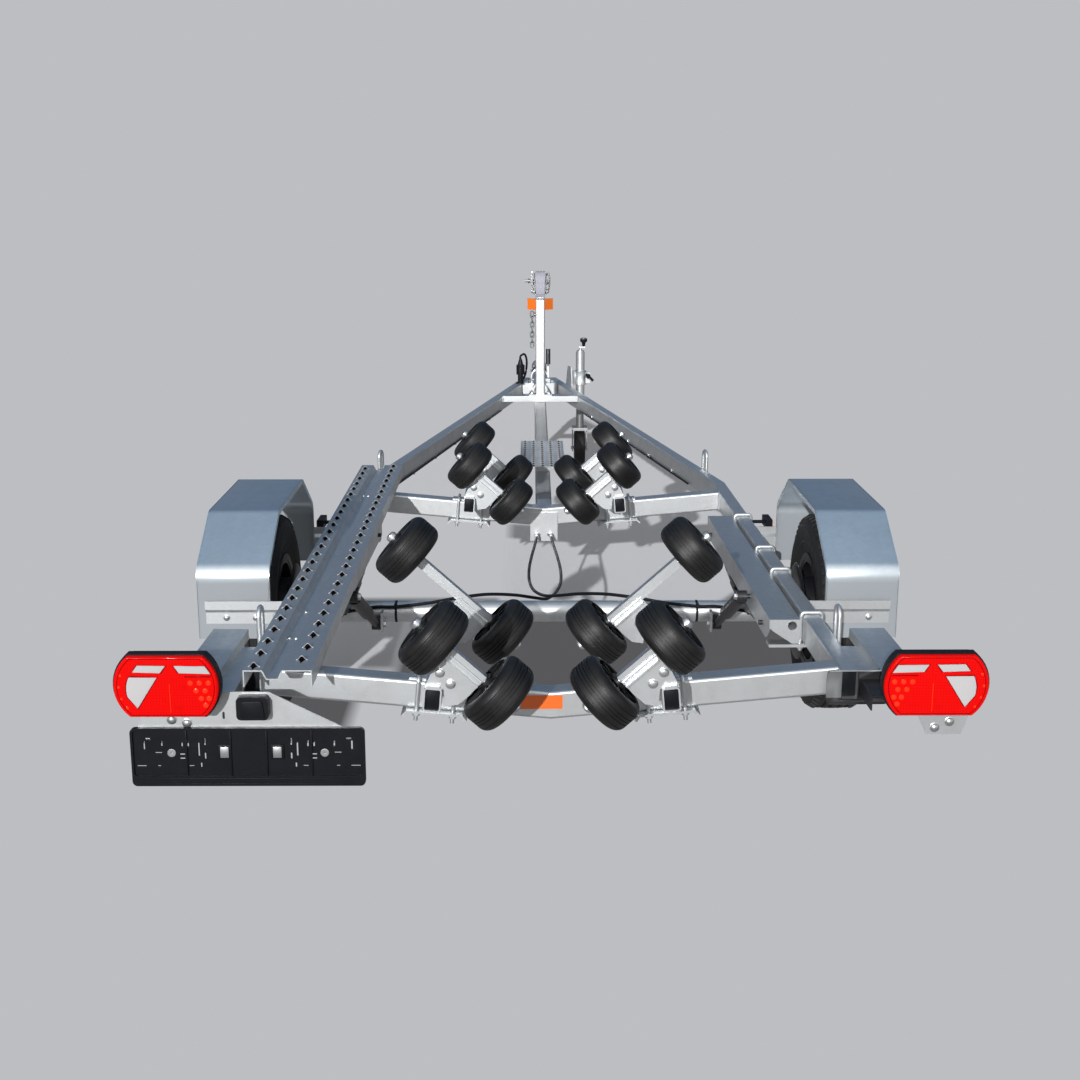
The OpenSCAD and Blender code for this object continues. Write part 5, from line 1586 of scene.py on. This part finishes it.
@dataclass(frozen=True)
class Coupling:
    """Grip, bolts and grease nipples of the coupling and overrun housing, and the handbrake's black upper half."""

    nose: float = 4.850
    z: float = 0.430
    bolts: tuple[float, ...] = (0.068, 0.138)
    bolt_x: float = 0.034
    bolt_drop: float = 0.006
    nipple: tuple[Pair, ...] = ((0.0055, 0.0), (0.0055, 0.005), (0.0028, 0.0065), (0.0040, 0.010), (0.0026, 0.0125),
                                (0.0, 0.013))
    nipples: tuple[float, ...] = (3.940, 4.300)
    housing_rise: float = 0.0425
    grip: Pair = (0.163, 0.0455)
    grip_tilt: float = math.radians(9)

    def build(self) -> None:
        """Adds the fittings."""
        metal = Piece("coupling_fittings", BRIGHT_ZINC_AND_HIGHLIGHT)
        head, nut, nipple = M12.head(), M12.nut(), make_mesh(spun(self.nipple, 12))
        for back in self.bolts:
            metal.stamp(head, facing(ahead(self.nose - back, self.bolt_x, self.z - self.bolt_drop), OUTWARD))
            metal.stamp(nut, facing(ahead(self.nose - back, -self.bolt_x, self.z - self.bolt_drop), INWARD))
        for distance in self.nipples:
            metal.stamp(nipple, facing(ahead(distance, 0, self.z + self.housing_rise), UPWARD))
        metal.done()
        low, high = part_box("handbrake_lever")
        dress_node("handbrake_lever", PaintAndShadeZincFinish(
            "handbrake_skin", Slot.ZINC, dark=(0.20, 0.20, 0.21), light=(0.40, 0.40, 0.40), thin=1.0,
            low=(-1.0, low.y - 1.0, (low.z + high.z) / 2), high=(1.0, high.y + 1.0, high.z + 1.0)))
        grip = Piece("coupling_grip", BLACK_PLASTIC)
        place = Matrix.Translation(ahead(self.nose - self.grip[0], 0, self.z + self.grip[1]))
        grip.stamp(make_mesh(block((0.032, 0.085, 0.011), 0.0045, 3)), place @ Matrix.Rotation(self.grip_tilt, 4, "X"))
        grip.done()


@dataclass(frozen=True)
class Jockey:
    """Black knob, clamp handle and bolts of the jockey wheel."""

    x: float = 0.222
    distance: float = 3.850
    knob_x: float = 0.240
    knob_z: float = 0.694
    neck_z: float = 0.6685
    knob: tuple[Pair, ...] = ((0.0, 0.0), (0.0165, 0.0), (0.0190, 0.003), (0.0195, 0.010), (0.0190, 0.017),
                              (0.0150, 0.0215), (0.0, 0.0225))
    neck: tuple[Pair, ...] = ((0.0, 0.0), (0.0085, 0.0), (0.0085, 0.012), (0.0105, 0.020), (0.0140, 0.027),
                              (0.0, 0.027))
    boss: tuple[Pair, ...] = ((0.0, 0.0), (0.013, 0.0), (0.013, 0.020), (0.010, 0.024), (0.0, 0.024))
    handle: tuple[Pair, ...] = ((0.030, 0.524), (0.042, 0.513), (0.058, 0.498), (0.070, 0.486))
    handle_back: float = 0.040
    clamp: Pair = (0.043, 0.510)
    plate_spots: tuple[Triple, ...] = ((0.0290, -0.048, 0.425), (0.0290, 0.050, 0.425))

    def build(self) -> None:
        """Adds the fittings."""
        black = Piece("jockey_knob", BLACK_PLASTIC)
        knob, neck, boss = (make_mesh(spun(profile, steps))
                            for profile, steps in ((self.knob, 28), (self.neck, 20), (self.boss, 20)))
        black.stamp(knob, Matrix.Translation(ahead(self.distance, self.knob_x, self.knob_z)))
        black.stamp(neck, Matrix.Translation(ahead(self.distance, self.knob_x, self.neck_z)))
        handle = [ahead(self.distance - self.handle_back, self.x + reach, z) for reach, z in self.handle]
        black.stamp(rod(handle, 0.0075), Matrix.Identity(4))
        clamp_x, clamp_z = self.x + self.clamp[0], self.clamp[1]
        black.stamp(boss, facing(ahead(self.distance - 0.018, clamp_x, clamp_z), REARWARD))
        black.done()
        metal = Piece("jockey_bolts", BRIGHT_ZINC_AND_HIGHLIGHT)
        metal.stamp(M10.nut(), facing(ahead(self.distance + 0.016, clamp_x, clamp_z), FORWARD))
        head = M12.head()
        for spot in self.plate_spots:
            metal.stamp(head, RAIL.seat(Side.RIGHT, self.distance, spot, OUTWARD))
        metal.done()


@dataclass(frozen=True)
class BrakeCables:
    """Cables that loop down from the keel plate, cross, and run along the axle to the drums."""

    radius: float = 0.0052
    line: tuple[Triple, ...] = (
        (-0.026, 0.978, 0.300), (-0.027, 0.930, 0.298), (-0.034, 0.860, 0.288), (-0.046, 0.740, 0.274),
        (-0.054, 0.600, 0.266), (-0.052, 0.450, 0.264), (-0.036, 0.310, 0.272), (-0.004, 0.190, 0.290),
        (0.040, 0.120, 0.310), (0.100, 0.075, 0.328), (0.180, 0.035, 0.3385), (0.270, -0.004, 0.338),
        (0.360, -0.028, 0.328), (0.460, -0.0345, 0.319), (0.520, -0.0345, 0.318), (0.620, -0.038, 0.302),
        (0.700, -0.038, 0.296), (0.7605, -0.036, 0.292),
    )
    steps: int = 6
    lift: float = 0.011
    crossing: Pair = (0.18, 0.15)
    adjuster: tuple[Pair, ...] = ((0.0, 0.0), (0.0082, 0.0), (0.0082, 0.018), (0.0062, 0.020), (0.0062, 0.042),
                                  (0.0, 0.042))
    adjuster_ahead: float = 0.9745

    def smooth(self) -> list[Vector]:
        """The line with rounded bends: a Catmull-Rom run through its points.

        Returns:
            The points of the run.
        """
        points = [ahead(y, x, z) for x, y, z in self.line]
        padded = [points[0], *points, points[-1]]
        run = []
        for a, b, c, d in zip(padded, padded[1:], padded[2:], padded[3:]):
            for t in (step / self.steps for step in range(self.steps)):
                run.append(0.5 * (2 * b + (c - a) * t + (2 * a - 5 * b + 4 * c - d) * t ** 2
                                  + (3 * b - a - 3 * c + d) * t ** 3))
        return [*run, points[-1]]

    def build(self) -> None:
        """Builds both cables, one passing over the other, and their adjusters."""
        cables = Piece("brake_cable_run", BLACK_PLASTIC)
        metal = Piece("cable_adjusters", BRIGHT_ZINC_AND_HIGHLIGHT)
        adjuster = make_mesh(spun(self.adjuster, 18))
        x, _, z = self.line[0]
        middle, half = self.crossing
        for side in Side:
            run = self.smooth()
            if side is Side.LEFT:
                near = [max(0.0, 1.0 - abs(point.y - AXLE_Y - middle) / half) for point in run]
                run = [point - UPWARD * (self.lift * share) for point, share in zip(run, near)]
            cables.stamp(rod(run, self.radius), MIRROR[side])
            metal.stamp(adjuster, MIRROR[side] @ facing(ahead(self.adjuster_ahead, x, z), REARWARD))
        cables.done(replaced=("brake_cables",))
        metal.done()


@dataclass(frozen=True)
class SmallParts:
    """Mudguard bolts, side lenses, cable ties and the blank label."""

    bracket: float = 0.4343
    guard_bolts: tuple[float, ...] = (0.800, 0.880)
    bolt_z: float = 0.405
    foot: float = 0.460
    foot_spot: Triple = (0.0268, 0, 0.405)
    marker: float = 0.620
    marker_spot: Triple = (0.1028, 0, 0.430)
    tie_x: float = 0.455
    tie_spot: Pair = (-0.0345, 0.3195)
    loop: Triple = (0.0060, 0.0072, 0.0025)
    band: Triple = (0.0318, 0.0334, 0.0035)
    label_place: Triple = (-0.029, -1.0301, 0.3745)
    label: tuple[Corner, ...] = (((0.054, 0.014), 0.003, 0), ((-0.054, 0.014), 0.003, 90),
                                 ((-0.054, -0.014), 0.003, 180), ((0.054, -0.014), 0.003, 270))

    @staticmethod
    def ring(inner: float, outer: float, half: float, steps: int) -> bpy.types.Mesh:
        """A flat ring about Z with a square section."""
        return make_mesh(spun([(inner, -half), (outer, -half), (outer, half), (inner, half), (inner, -half)], steps))

    def build(self) -> None:
        """Adds the small parts."""
        bolts = Piece("mudguard_bolts", BRIGHT_ZINC_AND_HIGHLIGHT)
        amber = Piece("side_lenses", AMBER_LENS)
        ties = Piece("cable_ties", BLACK_PLASTIC)
        dome, head = M8.dome(), M10.head()
        lens = make_mesh(block((0.074, 0.023, 0.0028), 0.0012, 3))
        lock = make_mesh(block((0.007, 0.006, 0.006), 0.0008))
        loop, band = self.ring(*self.loop, 20), self.ring(*self.band, 40)
        axle = joint_point("wheel_right_spin").z
        for side in Side:
            for end, way in ((-1, REARWARD), (1, FORWARD)):
                for x in self.guard_bolts:
                    bolts.stamp(dome, MIRROR[side] @ facing(ahead(end * self.bracket, x, self.bolt_z), way))
                bolts.stamp(head, RAIL.seat(side, end * self.foot, self.foot_spot, OUTWARD))
            amber.stamp(lens, MIRROR[side] @ RAIL.frame(self.marker) @ Matrix.Translation(self.marker_spot) @ SIDE_FACE)
            place = MIRROR[side] @ Matrix.Translation(ahead(self.tie_spot[0], self.tie_x, self.tie_spot[1]))
            ties.stamp(loop, place @ ALONG_AXLE)
            ties.stamp(lock, place @ Matrix.Translation((0, -0.004, 0.005)))
            ties.stamp(band, MIRROR[side] @ facing(ahead(0.0, self.tie_x, axle), OUTWARD))
        sticker = Piece("blank_label", ORANGE_FILM)
        x, distance, z = self.label_place
        sticker.stamp(make_mesh(slab(rounded(self.label, 3), 0.0004)), on_rear(ahead(distance, x, z)))
        for piece in (bolts, amber, ties, sticker):
            piece.done()


ASSEMBLIES = (Cradles(), RearLamps(), PlateHolder(), RearBrackets(), Grips(), Wheels(), Mudguards(),
              TubeEnds(), Winch(), Drawbar(), Coupling(), Jockey(), BrakeCables(), SmallParts())


# Stage, light and camera


@dataclass(frozen=True)
class Studio:
    """Pale endless floor, a low sun, darker surroundings for metal to mirror, and the photograph's camera.

    A box on the floor is its lowest X and Y and its highest X and Y.
    """

    backdrop: Colour = (0.509, 0.515, 0.539)
    sky_dark: Colour = (0.065, 0.115, 0.200)
    sky_high: Colour = (0.20, 0.29, 0.40)
    side_dark: Colour = (0.16, 0.175, 0.20)
    ground_dark: Colour = (0.20, 0.20, 0.205)
    key_bright: float = 0.95
    floor_half: float = 400.0
    shadow_share: float = 0.95
    shadow_half: float = 0.95
    shadow_ends: Triple = (-1.50, 1.60, 4.90)
    # Painted shadow: the floor is darker in the shade box and the sheet's shadow box; in the lit box no shadow shows.
    shade: Colour = (0.098, 0.098, 0.104)
    shade_box: Quad = (-0.52, -1.74, 1.30, -0.66)
    lit_box: Quad = (-0.80, -0.62, -0.17, 0.76)
    sheet_shadow_box: Quad = (-1.10, -2.10, -0.615, -1.50)
    box_soft: float = 0.05
    haze: Pair = (math.radians(6.0), math.radians(13.0))
    sky_level: float = 0.18
    sun_level: float = 3.3
    sun_elevation: float = math.radians(17.0)
    sun_turn: float = math.radians(13.0)
    sun_angle: float = math.radians(0.7)
    camera_place: Triple = (-0.0434, -6.154, 1.585)
    camera_pitch: float = math.radians(13.7)
    camera_turn: float = math.radians(-0.31)
    lens: float = 50.0
    sensor: float = 36.0

    def build(self) -> None:
        """Builds the whole studio."""
        bpy.context.scene.view_settings.view_transform = "Standard"
        self.light()
        self.floor()
        self.camera()
        LOG.info("studio ready")

    def light(self) -> None:
        """A low sun from behind the camera, and surroundings that metal mirrors darker than the backdrop."""
        lamp = bpy.data.lights.new("key", "SUN")
        lamp.energy = self.sun_level
        lamp.angle = self.sun_angle
        sun = bpy.data.objects.new("key", lamp)
        sun.rotation_euler = (math.pi / 2 - self.sun_elevation, 0.0, -self.sun_turn)
        bpy.context.scene.collection.objects.link(sun)
        world = bpy.data.worlds.new("studio")
        graph = blank_graph(world)
        ray = graph.add("ShaderNodeLightPath").outputs
        axes = graph.add("ShaderNodeSeparateXYZ", {0: graph.add("ShaderNodeTexCoord").outputs["Generated"]}).outputs
        upper = graph.span(axes[2], 0.0, 1.0, *(math.sin(angle) for angle in self.haze))
        behind = graph.span(axes[1], 1.0, 0.0, -0.5, 0.05)
        mirrored = graph.mix(upper, self.side_dark, self.sky_dark)
        mirrored = graph.mix(graph.span(axes[2], 0.0, 1.0, 0.5, 0.9), mirrored, self.sky_high)
        mirrored = graph.mix(behind, mirrored, (self.key_bright,) * 3)
        colour = graph.mix(ray["Is Glossy Ray"], (self.sky_level,) * 3, mirrored)
        seen = graph.math("MAXIMUM", ray["Is Camera Ray"], ray["Is Transmission Ray"])
        colour = graph.mix(seen, colour, self.backdrop)
        sky = graph.add("ShaderNodeBackground", {"Color": colour, "Strength": 1.0})
        graph.add("ShaderNodeOutputWorld", {"Surface": sky.outputs[0]})
        bpy.context.scene.world = world

    def floor(self) -> None:
        """A flat pale floor whose lit colour meets the backdrop; shadows show only within the trailer's frame.

        Two boxes are darker with painted shadow, and in a third no shadow shows.
        """
        bm = bmesh.new()
        bmesh.ops.create_grid(bm, x_segments=1, y_segments=1, size=self.floor_half)
        mesh = bpy.data.meshes.new("floor")
        bm.to_mesh(mesh)
        bm.free()
        floor = bpy.data.objects.new("floor", mesh)
        bpy.context.scene.collection.objects.link(floor)
        made = bpy.data.materials.new("pale_floor")
        graph = blank_graph(made)
        level = self.sun_level * math.sin(self.sun_elevation) / math.pi + self.sky_level
        axes = graph.add("ShaderNodeSeparateXYZ", {0: graph.add("ShaderNodeTexCoord").outputs["Object"]}).outputs
        rear, bend, front = self.shadow_ends
        width = graph.span(axes[1], self.shadow_half, 0.0, bend, front)
        across = graph.span(graph.math("SUBTRACT", width, graph.math("ABSOLUTE", axes[0])), 0.0, 1.0, 0.0, 0.06)
        inside = graph.math("MULTIPLY", across, graph.span(axes[1], 0.0, 1.0, rear, rear + 0.1))
        share = graph.math("MULTIPLY", inside, self.shadow_share)
        # Painted shadow: the two dark boxes.
        shade = graph.math("MULTIPLY", across, self.box_mask(graph, axes, self.shade_box))
        shade = graph.math("MAXIMUM", shade, self.box_mask(graph, axes, self.sheet_shadow_box))
        bright = graph.math("MAXIMUM", shade, self.box_mask(graph, axes, self.lit_box))
        share = graph.math("MULTIPLY", share, graph.math("SUBTRACT", 1.0, bright))
        black = (0.0, 0.0, 0.0)
        own = graph.mix(shade, self.backdrop, self.shade)
        matt = graph.add("ShaderNodeBsdfDiffuse",
                         {"Color": graph.mix(share, black, [value / level for value in self.backdrop])})
        glow = graph.add("ShaderNodeEmission", {"Color": graph.mix(share, own, black), "Strength": 1.0})
        shown = graph.add("ShaderNodeAddShader", {0: matt.outputs[0], 1: glow.outputs[0]})
        mirrored = graph.add("ShaderNodeEmission", {"Color": (*self.ground_dark, 1.0), "Strength": 1.0})
        ray = graph.add("ShaderNodeLightPath").outputs["Is Glossy Ray"]
        both = graph.add("ShaderNodeMixShader", {0: ray, 1: shown.outputs[0], 2: mirrored.outputs[0]})
        graph.add("ShaderNodeOutputMaterial", {"Surface": both.outputs[0]})
        mesh.materials.append(made)

    def box_mask(self, graph: Graph, axes: Sequence[Socket], box: Quad) -> Socket:
        """A soft-edged box on the floor.

        Args:
            graph: Graph of the floor's material.
            axes: Its coordinates.
            box: The box.

        Returns:
            1 inside the box and 0 outside.
        """
        mask: Socket | float = 1.0
        for axis, low, high in zip(axes, box[:2], box[2:]):
            mask = graph.math("MULTIPLY", mask, graph.span(axis, 0.0, 1.0, low, low + self.box_soft))
            mask = graph.math("MULTIPLY", mask, graph.span(axis, 1.0, 0.0, high, high + self.box_soft))
        return mask

    def camera(self) -> None:
        """The photograph's camera, behind the trailer and a little above it."""
        data = bpy.data.cameras.new("camera")
        data.lens = self.lens
        data.sensor_width = self.sensor
        data.sensor_fit = "HORIZONTAL"
        data.clip_end = 2 * self.floor_half
        camera = bpy.data.objects.new("camera", data)
        camera.location = self.camera_place
        camera.rotation_euler = (math.pi / 2 - self.camera_pitch, 0.0, self.camera_turn)
        bpy.context.scene.collection.objects.link(camera)
        bpy.context.scene.camera = camera


def main() -> None:
    """Builds the studio, dresses the frame and adds the pieces."""
    logging.basicConfig(level=logging.INFO, format="%(name)s: %(message)s")
    Studio().build()
    NodeDresser().build()
    for assembly in ASSEMBLIES:
        assembly.build()


if __name__ == "__main__":
    main()
